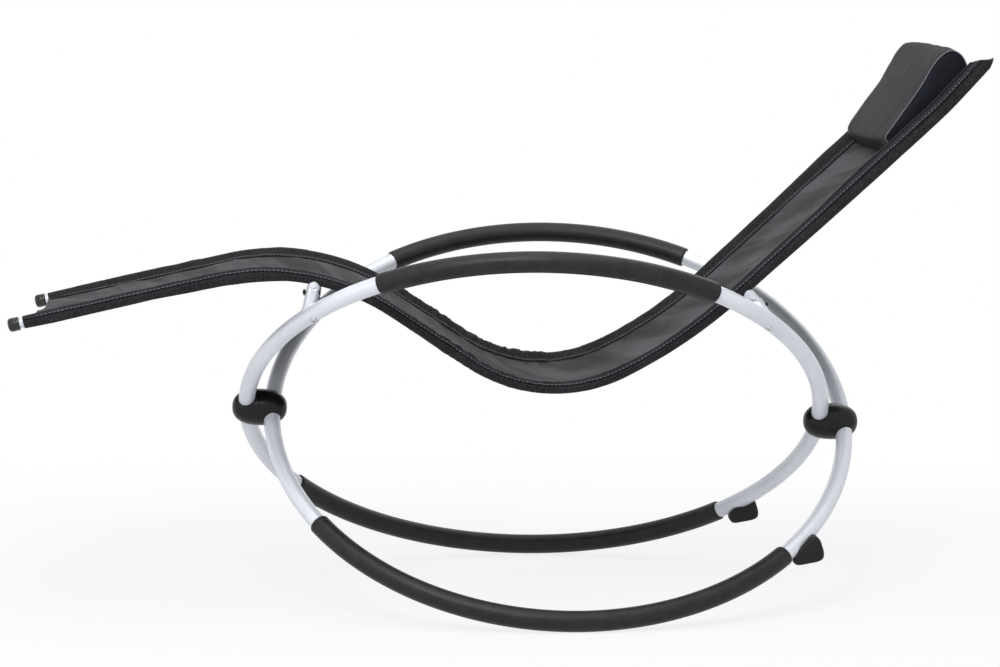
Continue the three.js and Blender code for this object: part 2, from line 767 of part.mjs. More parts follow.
/** The fabric bed between the sleeves, which sags across and is drawn in at both hems. */
function bed() {
  const lengths = [];
  let walked = 0;
  for (const [i, point] of rail.entries()) {
    if (i > 0) walked += point.distanceTo(rail[i - 1]);
    if (walked > bedFromFoot + hemRecess && walked < railLength - bedFromHead - hemRecess) lengths.push(walked);
  }
  const rings = [bedFromFoot, ...lengths, railLength - bedFromHead].map((length, i, all) => {
    const hem = i === 0 ? 1 : i === all.length - 1 ? -1 : 0;
    const { point, heading, up } = railFrame(length);
    const ring = [];
    for (const layer of [0, 1]) {
      for (let j = 0; j <= bedStrips; j++) {
        const share = (layer === 0 ? j : bedStrips - j) / bedStrips;
        const across = bedHalfWidth * (2 * share - 1);
        const sag = sagAt(across);
        const spot = point.clone().addScaledVector(up, -sag - layer * bedThickness);
        spot.addScaledVector(heading, (hem * hemRecess * sag) / bedSag);
        ring.push(new THREE.Vector3(spot.x, across, spot.y));
      }
    }
    return ring;
  });
  return loft(rings);
}

/** The head pillow: a wedge with a crown, lying in the sag of the bed. */
function pillow() {
  const rings = [];
  for (let i = 0; i <= pillowStations; i++) {
    const across = pillowHalfWidth * ((2 * i) / pillowStations - 1);
    const full = 1 - (across / pillowHalfWidth) ** 2;
    const hollow = sagAt(across) - sagAt(pillowHalfWidth);
    const back = -sagAt(pillowHalfWidth) - hollow * pillowSettleShare + pillowGap;
    const ring = [];
    for (const layer of [0, 1]) {
      for (let j = 0; j <= pillowSteps; j++) {
        const turn = (180 * (layer === 0 ? j : pillowSteps - j)) / pillowSteps;
        const along = (pillowLength * (1 - cosine(turn))) / 2;
        const { point, up } = railFrame(railLength - pillowFromHead - pillowLength + along);
        const height = layer === 0 ? pillowHeight(along, full, back) : back;
        const spot = point.addScaledVector(up, height);
        ring.push(new THREE.Vector3(spot.x, across, spot.y));
      }
    }
    rings.push(ring);
  }
  return loft(rings);
}

/** The height of the pillow's face above the rails, at a length along it and a share across it. */
function pillowHeight(along, full, back) {
  const share = along / pillowLength;
  const low = Math.min(1, along / pillowLowRound);
  const top = Math.min(1, (pillowLength - along) / pillowTopRound);
  const rounding = Math.sqrt(1 - (1 - low) ** 2) * Math.sqrt(1 - (1 - top) ** 2);
  const plane = pillowLowHeight + (pillowTopHeight - pillowLowHeight) * share;
  const foot = back + pillowEdge;
  return foot + (plane + pillowCrown * full - foot) * rounding;
}

/** The bolt, nut and washer of one pivot block. */
function pivotFasteners(end) {
  const name = end < 0 ? 'front' : 'rear';
  const group = new THREE.Group();
  group.position.x = end * pivotReach[name];
  group.rotation.z = end < 0 ? Math.PI : 0;
  group.add(piece(`${name}_pivot_bolt`, pivotBolt(), 'zincSteel'));
  group.add(piece(`${name}_pivot_nut`, pivotNut(), 'zincSteel'));
  group.add(piece(`${name}_thrust_washer`, thrustWasher(), 'nylon'));
  return group;
}

const chair = new THREE.Group();
chair.add(pivotFasteners(-1), pivotFasteners(1));
chair.add(hoop(-1), hoop(1));
chair.add(railSide(-1), railSide(1));
chair.add(piece('sling', bed(), 'bedFabric'));
chair.add(piece('pillow', pillow(), 'pillowFabric'));

// Leaned back to its rest, and set down with the middle of its footprint at the origin
chair.rotation.y = degToRad(rockBack);
const lounge = new THREE.Group();
lounge.add(chair);
lounge.updateMatrixWorld(true);
const reach = new THREE.Box3().setFromObject(lounge, true);
const middle = reach.getCenter(new THREE.Vector3());
chair.position.set(-middle.x, -middle.y, -reach.min.z);
lounge.updateMatrixWorld(true);

export default lounge;
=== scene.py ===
"""Rocking chaise lounge: a fabric sling between bent rails, hung in two crossed oval hoops.

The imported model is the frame. Each sub-assembly below is a class that builds its pieces on the
frame's own centre lines, dresses them in a procedural finish and sets them riding on a body.
Sizes are in metres and angles in degrees.
"""

from __future__ import annotations

import logging
import math
from dataclasses import dataclass, field
from enum import Enum
from typing import Iterable, Sequence

import bmesh
import bpy
import numpy as np
from mathutils import Matrix, Vector, noise

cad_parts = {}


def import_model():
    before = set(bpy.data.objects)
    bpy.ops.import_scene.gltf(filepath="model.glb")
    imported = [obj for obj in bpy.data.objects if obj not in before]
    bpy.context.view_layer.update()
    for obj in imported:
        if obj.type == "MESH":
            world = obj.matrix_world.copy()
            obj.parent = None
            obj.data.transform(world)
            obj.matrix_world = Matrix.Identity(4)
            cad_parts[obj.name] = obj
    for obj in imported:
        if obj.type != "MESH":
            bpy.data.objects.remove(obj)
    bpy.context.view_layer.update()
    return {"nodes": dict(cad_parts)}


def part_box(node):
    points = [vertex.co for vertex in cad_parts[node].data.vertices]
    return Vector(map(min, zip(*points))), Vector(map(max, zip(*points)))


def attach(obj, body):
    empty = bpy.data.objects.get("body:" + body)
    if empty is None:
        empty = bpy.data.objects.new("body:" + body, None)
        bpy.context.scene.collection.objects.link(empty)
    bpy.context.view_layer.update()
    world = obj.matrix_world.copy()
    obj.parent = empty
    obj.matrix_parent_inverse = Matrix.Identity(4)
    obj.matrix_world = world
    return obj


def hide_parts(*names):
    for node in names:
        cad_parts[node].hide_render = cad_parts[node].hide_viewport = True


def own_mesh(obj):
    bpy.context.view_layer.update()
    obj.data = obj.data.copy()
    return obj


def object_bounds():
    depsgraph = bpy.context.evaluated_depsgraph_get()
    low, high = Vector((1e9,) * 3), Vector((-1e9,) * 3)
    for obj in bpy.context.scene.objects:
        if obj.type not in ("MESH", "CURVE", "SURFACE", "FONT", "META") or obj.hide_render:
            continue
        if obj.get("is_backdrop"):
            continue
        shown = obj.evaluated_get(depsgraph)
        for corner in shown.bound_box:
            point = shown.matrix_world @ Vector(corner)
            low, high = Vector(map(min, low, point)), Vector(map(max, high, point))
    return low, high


log = logging.getLogger("lounge")
Array = np.ndarray
Number = float | int
Tint = tuple[float, float, float]

# The chair's own directions
ALONG, ACROSS = np.array([1.0, 0.0, 0.0]), np.array([0.0, 1.0, 0.0])


class Worded(Enum):
    """An option that stands in the names of pieces."""

    @property
    def word(self) -> str:
        """The option's name in the names of pieces."""
        return self.name.lower()


class Side(Worded):
    """The two sides of the chair, as the sign of Y."""

    LEFT = -1
    RIGHT = 1

    @property
    def other(self) -> Side:
        """The opposite side."""
        return Side(-self.value)


class End(Worded):
    """The two ends of the chair, as the sign of X."""

    FRONT = -1
    REAR = 1


# Shader maths


class Wire:
    """A shader socket that takes part in Python expressions."""

    def __init__(self, graph: Graph, socket: bpy.types.NodeSocket) -> None:
        """Wraps an output socket, and keeps the graph that new nodes go into."""
        self.graph = graph
        self.socket = socket

    def _math(self, operation: str, *others: Wire | Number) -> Wire:
        """Adds a Math node on this value and the other operands."""
        return self.graph.math(operation, self, *others)

    def __add__(self, other: Wire | Number) -> Wire:
        """Adds two values."""
        return self._math("ADD", other)

    __radd__ = __add__

    def __rsub__(self, other: Number) -> Wire:
        """Takes this value from a number."""
        return self.graph.math("SUBTRACT", other, self)

    def __mul__(self, other: Wire | Number) -> Wire:
        """Multiplies two values."""
        return self._math("MULTIPLY", other)

    __rmul__ = __mul__

    def __pow__(self, other: Number) -> Wire:
        """Raises this value to a power."""
        return self._math("POWER", other)

    def sine(self) -> Wire:
        """The sine of this value in radians."""
        return self._math("SINE")

    def size(self) -> Wire:
        """This value without its sign."""
        return self._math("ABSOLUTE")

    def share(self, low: Number, high: Number) -> Wire:
        """Where this value lies between two others, held between 0 and 1.

        Args:
            low: The value that gives 0.
            high: The value that gives 1.

        Returns:
            A smooth step from 0 to 1.
        """
        node = self.graph.node(
            "ShaderNodeMapRange",
            {"interpolation_type": "SMOOTHSTEP"},
            {"Value": self, "From Min": low, "From Max": high},
        )
        return node["Result"]


class Placed:
    """A node that has been added to a graph, whose outputs are read by name or number."""

    def __init__(self, graph: Graph, node: bpy.types.Node) -> None:
        """Wraps a node of a graph."""
        self.graph = graph
        self.node = node

    def __getitem__(self, name: str | int) -> Wire:
        """The output of that name or number."""
        return Wire(self.graph, self.node.outputs[name])


Value = Wire | Number | Sequence[float]


class Graph:
    """The node tree of one material."""

    def __init__(self, tree: bpy.types.NodeTree) -> None:
        """Starts on a tree, which it empties."""
        self.tree = tree
        tree.nodes.clear()

    def node(self, kind: str, settings: dict[str, object] | None = None,
             inputs: dict[str | int, Value] | None = None) -> Placed:
        """Adds a node.

        Args:
            kind: The node's type.
            settings: Its settings, which are made first.
            inputs: The value or link of each socket.

        Returns:
            The node.
        """
        node = self.tree.nodes.new(kind)
        for name, value in (settings or {}).items():
            setattr(node, name, value)
        for name, value in (inputs or {}).items():
            socket = node.inputs[name]
            if isinstance(value, Wire):
                self.tree.links.new(value.socket, socket)
            elif isinstance(value, (int, float)):
                socket.default_value = value
            else:
                wide = len(socket.default_value)
                socket.default_value = (tuple(value) + (1.0,))[:wide]
        return Placed(self, node)

    def math(self, operation: str, *operands: Wire | Number) -> Wire:
        """Adds a Math node on operands in order, and gives its value."""
        return self.node("ShaderNodeMath", {"operation": operation}, dict(enumerate(operands)))["Value"]

    def mix(self, factor: Wire | Number, low: Value, high: Value) -> Wire:
        """Mixes two colours: the factor is how much of the second there is."""
        first, second, mixed = 6, 7, 2  # the numbers of the node's colour sockets
        return self.node("ShaderNodeMix", {"data_type": "RGBA"}, {0: factor, first: low, second: high})[mixed]

    def places(self) -> Wire:
        """The place on the object, in metres."""
        return self.node("ShaderNodeTexCoord")["Object"]

    def cloth(self) -> Wire:
        """The place on the flat cut of a cloth, in metres."""
        return self.node("ShaderNodeUVMap", {"uv_map": "cut"})["UV"]

    def seen(self) -> Wire:
        """Marks the rays that show the background: camera, glossy and transmission rays.

        Returns:
            1 for those rays, and 0 for the others.
        """
        rays = self.node("ShaderNodeLightPath")
        seen = self.math("MAXIMUM", rays["Is Camera Ray"], rays["Is Glossy Ray"])
        return self.math("MAXIMUM", seen, rays["Is Transmission Ray"])

    def parts(self, vector: Wire) -> tuple[Wire, Wire, Wire]:
        """The X, Y and Z of a vector."""
        node = self.node("ShaderNodeSeparateXYZ", None, {"Vector": vector})
        return node["X"], node["Y"], node["Z"]

    def noise(self, vector: Wire, scale: float, detail: float = 3.0, roughness: float = 0.55) -> Wire:
        """Cloudy noise from 0 to 1: so many blots to a metre, octaves, and strength of the fine ones."""
        return self.node("ShaderNodeTexNoise", None, {
            "Vector": vector, "Scale": scale, "Detail": detail, "Roughness": roughness})["Fac"]

    def bump(self, height: Wire, strength: float, distance: float, below: Wire | None = None) -> Wire:
        """A bumped normal.

        Args:
            height: The height from 0 to 1.
            strength: How strongly it shows.
            distance: The height in metres that 1 stands for.
            below: A normal that it is added to.

        Returns:
            The normal.
        """
        inputs: dict[str | int, Value] = {"Strength": strength, "Distance": distance, "Height": height}
        if below is not None:
            inputs["Normal"] = below
        return self.node("ShaderNodeBump", None, inputs)["Normal"]

    def surface(self, inputs: dict[str | int, Value]) -> None:
        """Ends the graph in one shader, with these values and links in its sockets."""
        shader = self.node("ShaderNodeBsdfPrincipled", None, inputs)
        self.node("ShaderNodeOutputMaterial", None, {"Surface": shader["BSDF"]})


# Finishes


@dataclass(frozen=True)
class Finish:
    """What the finishes share: a name and a material made once."""

    name: str = "finish"

    def material(self) -> bpy.types.Material:
        """The material, made when it is first asked for. Its name is none of the frame's own.

        Returns:
            The material.
        """
        found = bpy.data.materials.get(self.name)
        if found is None:
            found = bpy.data.materials.new(self.name)
            found.use_nodes = True
            self.draw(Graph(found.node_tree))
        return found

    def draw(self, graph: Graph) -> None:
        """Draws the finish in an empty graph."""
        raise NotImplementedError


@dataclass(frozen=True)
class PowderPaint(Finish):
    """Pale grey powder paint: a fine pebbled skin, with dust in it and worn spots."""

    name: str = "powder_paint"
    pale: Tint = (0.76, 0.785, 0.83)
    cool: Tint = (0.69, 0.715, 0.765)
    rub: Tint = (0.47, 0.48, 0.5)

    def draw(self, graph: Graph) -> None:
        """Draws the paint.

        Args:
            graph: The empty graph to fill.
        """
        place = graph.places()
        cloud = graph.noise(place, 9.0, 4.0)
        pebble = graph.noise(place, 1500.0, 2.0, 0.6)
        speck = graph.noise(place, 420.0, 1.0)
        rubbed = graph.noise(place, 38.0, 6.0, 0.7).share(0.69, 0.74) * 0.35
        colour = graph.mix(cloud.share(0.35, 0.65), self.pale, self.cool)
        colour = graph.mix(speck.share(0.72, 0.8) * 0.12, colour, (0.9, 0.92, 0.95))
        colour = graph.mix(rubbed, colour, self.rub)
        normal = graph.bump(pebble, 0.16, 0.0004, graph.bump(graph.noise(place, 160.0, 1.0), 0.05, 0.001))
        graph.surface({
            "Base Color": colour,
            "Metallic": 0.25,
            "Roughness": 0.34 + cloud * 0.08 + rubbed * 0.3,
            "Coat Weight": 0.25,
            "Coat Roughness": 0.22,
            "Normal": normal,
        })


@dataclass(frozen=True)
class GripFoam(Finish):
    """Black closed-cell foam with a dull skin and a faint mottle."""

    name: str = "closed_cell_foam"
    dark: Tint = (0.012, 0.012, 0.0125)
    light: Tint = (0.020, 0.020, 0.021)

    def draw(self, graph: Graph) -> None:
        """Draws the foam.

        Args:
            graph: The empty graph to fill.
        """
        place = graph.places()
        cells = graph.node("ShaderNodeTexVoronoi", {"feature": "F1"}, {"Vector": place, "Scale": 1300.0})
        mottle = graph.noise(place, 55.0, 5.0, 0.65)
        soft = graph.noise(place, 14.0, 2.0)
        graph.surface({
            "Base Color": graph.mix(mottle.share(0.3, 0.7), self.dark, self.light),
            "Roughness": 0.38 + soft * 0.1,
            "Specular IOR Level": 0.25,
            "Normal": graph.bump(cells["Distance"], 0.01, 0.0001),
        })


@dataclass(frozen=True)
class MouldedPlastic(Finish):
    """Black moulded nylon, glossy with a fine grain and scuffs."""

    name: str = "moulded_plastic"
    black: Tint = (0.009, 0.009, 0.01)
    scuffed: Tint = (0.035, 0.035, 0.037)
    shine: float = 0.24
    grain: float = 0.08
    gloss: float = 0.22

    def draw(self, graph: Graph) -> None:
        """Draws the plastic.

        Args:
            graph: The empty graph to fill.
        """
        place = graph.places()
        grain = graph.noise(place, 900.0, 2.0)
        scuff = graph.noise(place, 70.0, 7.0, 0.75).share(0.62, 0.72)
        graph.surface({
            "Base Color": graph.mix(scuff * 0.5, self.black, self.scuffed),
            "Roughness": self.shine + scuff * 0.2 + grain * 0.06,
            "Specular IOR Level": self.gloss,
            "Normal": graph.bump(grain, self.grain, 0.0003),
        })


@dataclass(frozen=True)
class ZincPlate(Finish):
    """Zinc-plated steel, with a turned grain and dull patches."""

    name: str = "zinc_plate"
    bright: Tint = (0.66, 0.67, 0.69)
    dull: Tint = (0.43, 0.44, 0.45)

    def draw(self, graph: Graph) -> None:
        """Draws the plating.

        Args:
            graph: The empty graph to fill.
        """
        place = graph.places()
        patch = graph.noise(place, 320.0, 5.0, 0.7)
        streak = graph.noise(place, 2600.0, 1.0)
        graph.surface({
            "Base Color": graph.mix(patch.share(0.4, 0.7), self.bright, self.dull),
            "Metallic": 0.92,
            "Roughness": 0.28 + patch * 0.22,
            "Normal": graph.bump(streak, 0.1, 0.0002),
        })


@dataclass(frozen=True)
class Nylon(Finish):
    """Natural nylon of the thrust washers, milky and slightly greased."""

    name: str = "white_nylon"
    milky: Tint = (0.74, 0.72, 0.66)
    greased: Tint = (0.5, 0.47, 0.4)

    def draw(self, graph: Graph) -> None:
        """Draws the nylon.

        Args:
            graph: The empty graph to fill.
        """
        place = graph.places()
        smear = graph.noise(place, 240.0, 4.0)
        graph.surface({
            "Base Color": graph.mix(smear.share(0.45, 0.7), self.milky, self.greased),
            "Roughness": 0.55 - smear * 0.2,
            "Normal": graph.bump(smear, 0.08, 0.0004),
        })


@dataclass(frozen=True)
class Weave(Finish):
    """A coated plain weave on a cloth's flat cut, with random cloudy tone and painted highlight streaks that
    lie aslant like its creases.
    """

    name: str = "weave"
    warp: Tint = (0.034, 0.034, 0.036)
    weft: Tint = (0.046, 0.047, 0.05)
    gap: Tint = (0.009, 0.009, 0.01)
    pitch: float = 0.0019
    relief: float = 0.0004
    rough: float = 0.62
    # cloud, bright and slant set the painted highlight: its strength with the random cloudy tone, its tint as
    # a multiple of the weft, and its streaks' angle
    cloud: float = 0.35
    speckle: float = 0.2
    bright: float = 2.4
    fleck: float = 4.0
    slant: float = -0.38

    def draw(self, graph: Graph) -> None:
        """Draws the weave.

        Args:
            graph: The empty graph to fill.
        """
        cut = graph.cloth()
        across, along, _ = graph.parts(cut)
        turn = math.pi / self.pitch
        warp = (across * turn).sine()
        weft = (along * turn).sine()
        check = (warp * weft + 1.0) * 0.5
        ridge = warp.size() * weft.size()
        over = check.share(0.42, 0.58)
        place = graph.places()
        # Random cloudy tone and painted highlight streaks on a slanted mapping lighten the weave toward
        # bright times the weft; the streaks stand in for light caught along creases
        cloud = graph.noise(place, 7.0, 4.0)
        highlight_streak_place = graph.node("ShaderNodeMapping", {"vector_type": "TEXTURE"}, {
            "Vector": cut, "Rotation": (0.0, 0.0, self.slant), "Scale": (0.3, 0.05, 1.0)})["Vector"]
        streak = graph.noise(highlight_streak_place, 1.0, 4.0)
        tint = graph.mix(over, self.warp, self.weft)
        tint = graph.mix((0.32 - ridge).share(0.0, 0.32) * 0.55, tint, self.gap)
        tone = (cloud.share(0.35, 0.65) * 0.45 + streak.share(0.42, 0.62) * 0.55) * self.cloud
        tint = graph.mix(tone, tint, tuple(self.bright * part for part in self.weft))
        flecks = graph.noise(place, 560.0, 1.5).share(0.48, 0.66)
        tint = graph.mix(flecks * self.speckle, tint, tuple(self.fleck * part for part in self.weft))
        graph.surface({
            "Base Color": tint,
            "Roughness": self.rough + (1.0 - ridge) * 0.12,
            "Specular IOR Level": 0.1,
            "Sheen Weight": 0.03,
            "Sheen Roughness": 0.5,
            "Normal": graph.bump(ridge + over * 0.4, 0.3, self.relief),
        })


@dataclass(frozen=True)
class Thread(Finish):
    """Twisted sewing thread, in one dark or pale tone."""

    name: str = "thread"
    tone: Tint = (0.09, 0.09, 0.095)

    def draw(self, graph: Graph) -> None:
        """Draws the thread.

        Args:
            graph: The empty graph to fill.
        """
        twist = graph.noise(graph.places(), 2200.0, 1.0)
        graph.surface({
            "Base Color": graph.mix(twist, self.tone, tuple(1.6 * part for part in self.tone)),
            "Roughness": 0.6,
            "Sheen Weight": 0.2,
            "Normal": graph.bump(twist, 0.3, 0.0003),
        })


PAINT = PowderPaint()
FOAM = GripFoam()
PLASTIC = MouldedPlastic()
CAP_PLASTIC = MouldedPlastic(name="cap_plastic", shine=0.09, grain=0.02, gloss=0.5)
STOP_RUBBER = MouldedPlastic(name="stop_plastic", black=(0.011, 0.011, 0.012), shine=0.4, grain=0.2)
ZINC = ZincPlate()
NYLON = Nylon()
# The bed's weave has the strongest random cloudy tone and painted highlight streaks
BED_CLOTH = Weave(
    name="bed_cloth", warp=(0.019, 0.019, 0.020), weft=(0.026, 0.0265, 0.028), cloud=0.85, speckle=0.1,
    bright=3.6)
SLEEVE_CLOTH = Weave(
    name="sleeve_cloth", warp=(0.010, 0.010, 0.011), weft=(0.016, 0.016, 0.017), gap=(0.004, 0.004, 0.005),
    relief=0.0002, cloud=0.3, speckle=0.5)
HEM_CLOTH = Weave(
    name="hem_cloth", warp=(0.015, 0.015, 0.017), weft=(0.021, 0.0215, 0.025), gap=(0.005, 0.005, 0.006),
    speckle=0.2)
# Near-black cloth that paints shade: the dark crease lines on the sleeves and the shadow strip under the
# pillow
SHADE_CLOTH = Weave(
    name="fold_cloth", warp=(0.003, 0.003, 0.0035), weft=(0.004, 0.004, 0.0045), gap=(0.002, 0.002, 0.002),
    speckle=0.1)
PILLOW_CLOTH = Weave(
    name="pillow_cloth", warp=(0.019, 0.019, 0.020), weft=(0.024, 0.024, 0.026), gap=(0.010, 0.010, 0.011),
    pitch=0.0014, relief=0.0003, rough=0.7, cloud=0.3, speckle=0.06)
PANEL_CLOTH = Weave(
    name="panel_cloth", warp=(0.007, 0.0075, 0.011), weft=(0.010, 0.011, 0.016), gap=(0.003, 0.003, 0.005),
    pitch=0.0014, relief=0.0003, rough=0.72, cloud=0.2)
SEAM_THREAD = Thread(name="seam_thread", tone=(0.085, 0.088, 0.105))
PALE_PIPING = Thread(name="pale_piping", tone=(0.10, 0.105, 0.12))


# Places on the chair


def unit(vectors: Array) -> Array:
    """The same directions at length one, one vector or one to a row."""
    return vectors / np.linalg.norm(vectors, axis=-1, keepdims=True)


@dataclass(frozen=True)
class Lean:
    """Takes the level chair, drawn about its pivot line, to how it rests on the floor."""

    rock_back: float = 1.78
    centre: tuple[float, float, float] = (0.07938, 0.0, 0.273622)

    def turn(self, vectors: Array) -> Array:
        """Turns level directions to the resting chair's.

        Args:
            vectors: One direction to a row.

        Returns:
            The turned directions.
        """
        angle = math.radians(self.rock_back)
        cos, sin = math.cos(angle), math.sin(angle)
        matrix = np.array([[cos, 0, sin], [0, 1, 0], [-sin, 0, cos]])
        return np.asarray(vectors, float) @ matrix.T

    def place(self, points: Array) -> Array:
        """Moves level points, one to a row, to the resting chair's."""
        return self.turn(points) + np.array(self.centre)


LEAN = Lean()


@dataclass(frozen=True)
class Oval:
    """The centre line of one hoop."""

    arm: Side
    half_length: float = 0.4393
    half_width: float = 0.4023
    lean: float = 50.0
    spacing: float = 0.0388

    def point(self, angle: Array | float) -> Array:
        """Points of the centre line in the level chair.

        Args:
            angle: Angles in degrees round the hoop from the head end.

        Returns:
            One point for each angle.
        """
        turn = np.radians(np.asarray(angle, float))
        out = self.half_width * np.sin(turn)
        side = self.arm.value
        return np.stack([
            self.half_length * np.cos(turn) + side * self.spacing / 2,
            side * out * math.sin(math.radians(self.lean)),
            out * math.cos(math.radians(self.lean)),
        ], axis=-1)

    def normal(self) -> Array:
        """The direction square to the hoop's plane, toward the chair's outer and lower side.

        Returns:
            The direction.
        """
        side = self.arm.value
        turn = math.radians(self.lean)
        return np.array([0.0, side * math.cos(turn), -math.sin(turn)])

    def run(self, start: float, stop: float, step: float = 2.0) -> Array:
        """Even points from one angle to another, about a step of degrees apart."""
        return self.point(np.linspace(start, stop, max(2, round(abs(stop - start) / step)) + 1))


@dataclass(frozen=True)
class RailLine:
    """The bent centre line of the seat rails, in the plane of a rail."""

    runs: tuple[float, ...] = (0.4375, 0.4101, 0.2318, 0.5049, 0.0914)
    slopes: tuple[float, ...] = (14.25, -31.95, 28.9, 44.2, 49.0)
    radii: tuple[float, ...] = (0.338, 0.223, 0.7, 0.529)
    corner_ahead: float = 0.013
    corner_height: float = 0.029
    spread: float = 0.38003
    step: float = 0.004

    def _corners(self) -> list[Array]:
        """The corners of the line before it is bent.

        Returns:
            The corners from foot to head.
        """
        ways = [np.array([math.cos(math.radians(s)), math.sin(math.radians(s))]) for s in self.slopes]
        corners = [np.array([-self.corner_ahead, self.corner_height])]
        for index in (1, 0):
            corners.insert(0, corners[0] - ways[index] * self.runs[index])
        for index in (2, 3, 4):
            corners.append(corners[-1] + ways[index] * self.runs[index])
        return corners

    def stations(self) -> Array:
        """Fine points of the line, one to a row.

        Returns:
            The points from foot to head.
        """
        corners = self._corners()
        points = [corners[0]]
        for index, radius in enumerate(self.radii):
            first = unit(corners[index + 1] - corners[index])
            second = unit(corners[index + 2] - corners[index + 1])
            turn = math.acos(float(np.clip(first @ second, -1, 1)))
            side = math.copysign(1.0, first[0] * second[1] - first[1] * second[0])
            start = corners[index + 1] - first * radius * math.tan(turn / 2)
            inward = np.array([-first[1], first[0]]) * side * radius
            count = max(3, math.ceil(radius * turn / self.step))
            for place in range(count + 1):
                angle = side * turn * place / count
                arm = np.array([
                    -inward[0] * math.cos(angle) + inward[1] * math.sin(angle),
                    -inward[0] * math.sin(angle) - inward[1] * math.cos(angle),
                ])
                points.append(start + inward + arm)
        points.append(corners[-1])
        return np.array(points)

    def measured(self) -> tuple[Array, Array]:
        """The points of the line, and how far along it each is.

        Returns:
            The points and their lengths along the line.
        """
        points = self.stations()
        steps = np.linalg.norm(np.diff(points, axis=0), axis=1)
        return points, np.concatenate([[0.0], np.cumsum(steps)])

    def length(self) -> float:
        """The full length of a rail."""
        return float(self.measured()[1][-1])

    def at(self, lengths: Array) -> tuple[Array, Array]:
        """Places and up directions along a rail, in its plane.

        Args:
            lengths: Lengths along the rail from the foot.

        Returns:
            The points, and the directions square to the rail on its upper side.
        """
        points, walked = self.measured()
        total = walked[-1]
        lengths = np.asarray(lengths, float)
        held = np.clip(lengths, 0, total)
        ahead, behind, spot = (
            np.stack([np.interp(np.clip(place, 0, total), walked, points[:, k]) for k in (0, 1)], axis=-1)
            for place in (held + self.step, held - self.step, held))
        way = unit(ahead - behind)
        spot = spot + way * (lengths - held)[..., None]
        return spot, np.stack([-way[..., 1], way[..., 0]], axis=-1)

    def level(self, lengths: Array, across: Array, rise: Array) -> Array:
        """Points beside the rails, in the level chair.

        Args:
            lengths: Lengths along the rail.
            across: Places across the chair, with zero in the middle.
            rise: Heights square to the rail.

        Returns:
            One point for each.
        """
        spot, up = self.at(lengths)
        lifted = spot + up * np.asarray(rise, float)[..., None]
        return np.stack([lifted[..., 0], np.broadcast_to(across, lifted.shape[:-1]), lifted[..., 1]], axis=-1)


RAIL = RailLine()


# Meshes


def smooth_between(low: float, high: float, value: Array) -> Array:
    """A smooth step from 0 at one value to 1 at another."""
    share = np.clip((value - low) / (high - low), 0, 1)
    return share * share * (3 - 2 * share)


def ruffle(points: Array, scale: float, seed: float) -> Array:
    """Steady noise at points, about between -1 and 1.

    Args:
        points: One point to a row.
        scale: How many waves there are to a metre.
        seed: Moves the noise, so that two pieces differ.

    Returns:
        One value for each point.
    """
    flat = points.reshape(-1, 3) * scale + seed
    values = np.array([noise.noise(Vector(p)) for p in flat])
    return values.reshape(points.shape[:-1]) * 1.6


@dataclass
class Shape:
    """Vertices and faces that are gathered before they become one mesh."""

    points: list[Array] = field(default_factory=list)
    faces: list[tuple[int, ...]] = field(default_factory=list)
    cut: list[tuple[float, float]] = field(default_factory=list)
    finish: list[int] = field(default_factory=list)

    def count(self) -> int:
        """How many vertices there are so far."""
        return sum(len(p) for p in self.points)

    def face(self, corners: Iterable[int], cut: Iterable[Sequence[float]], finish: int = 0) -> None:
        """Adds one face.

        Args:
            corners: Its vertices in order.
            cut: The flat place of each.
            finish: The material's index.
        """
        self.faces.append(tuple(corners))
        self.cut.extend((float(p[0]), float(p[1])) for p in cut)
        self.finish.append(finish)

    def grid(self, rows: Array, closed: bool = False, cut: Array | None = None, finish: int = 0,
             ends: bool = False, flip: bool = False) -> Shape:
        """Adds a sheet of rows of points.

        Args:
            rows: Points in rows: row, column, part.
            closed: Whether each row is a ring.
            cut: The flat place of each point, with one more column where it is a ring.
            finish: The material's index.
            ends: Whether the first and last rings are filled.
            flip: Whether the faces turn over.

        Returns:
            This shape.
        """
        start = self.count()
        tall, wide = rows.shape[:2]
        if cut is None:
            steps = np.linalg.norm(np.diff(rows, axis=0), axis=-1).mean(axis=1)
            along = np.concatenate([[0.0], np.cumsum(steps)])
            ring = np.concatenate([rows, rows[:, :1]], axis=1) if closed else rows
            widths = np.linalg.norm(np.diff(ring, axis=1), axis=-1).mean(axis=0)
            across = np.concatenate([[0.0], np.cumsum(widths)])
            cut = np.stack(np.meshgrid(across, along), axis=-1)
        self.points.append(rows.reshape(-1, 3))
        way = -1 if flip else 1
        for i in range(tall - 1):
            near, far = start + i * wide, start + (i + 1) * wide
            for j in range(wide if closed else wide - 1):
                k = (j + 1) % wide
                quad = [near + j, near + k, far + k, far + j]
                places = [cut[i, j], cut[i, j + 1], cut[i + 1, j + 1], cut[i + 1, j]]
                self.face(quad[::way], places[::way], finish)
        if ends:
            for row, turn in ((0, -way), (tall - 1, way)):
                ring = range(start + row * wide, start + (row + 1) * wide)
                self.face(ring[::turn], cut[row, :wide][::turn], finish)
        return self

    def mesh(self, name: str) -> bpy.types.Mesh:
        """Makes the mesh.

        Args:
            name: The mesh's name.

        Returns:
            The mesh, with its flat cut as a UV map.
        """
        mesh = bpy.data.meshes.new(name)
        mesh.from_pydata(np.concatenate(self.points).tolist(), [], self.faces)
        layer = mesh.uv_layers.new(name="cut")
        layer.data.foreach_set("uv", np.array(self.cut, float).ravel())
        mesh.polygons.foreach_set("material_index", self.finish)
        mesh.update()
        return mesh


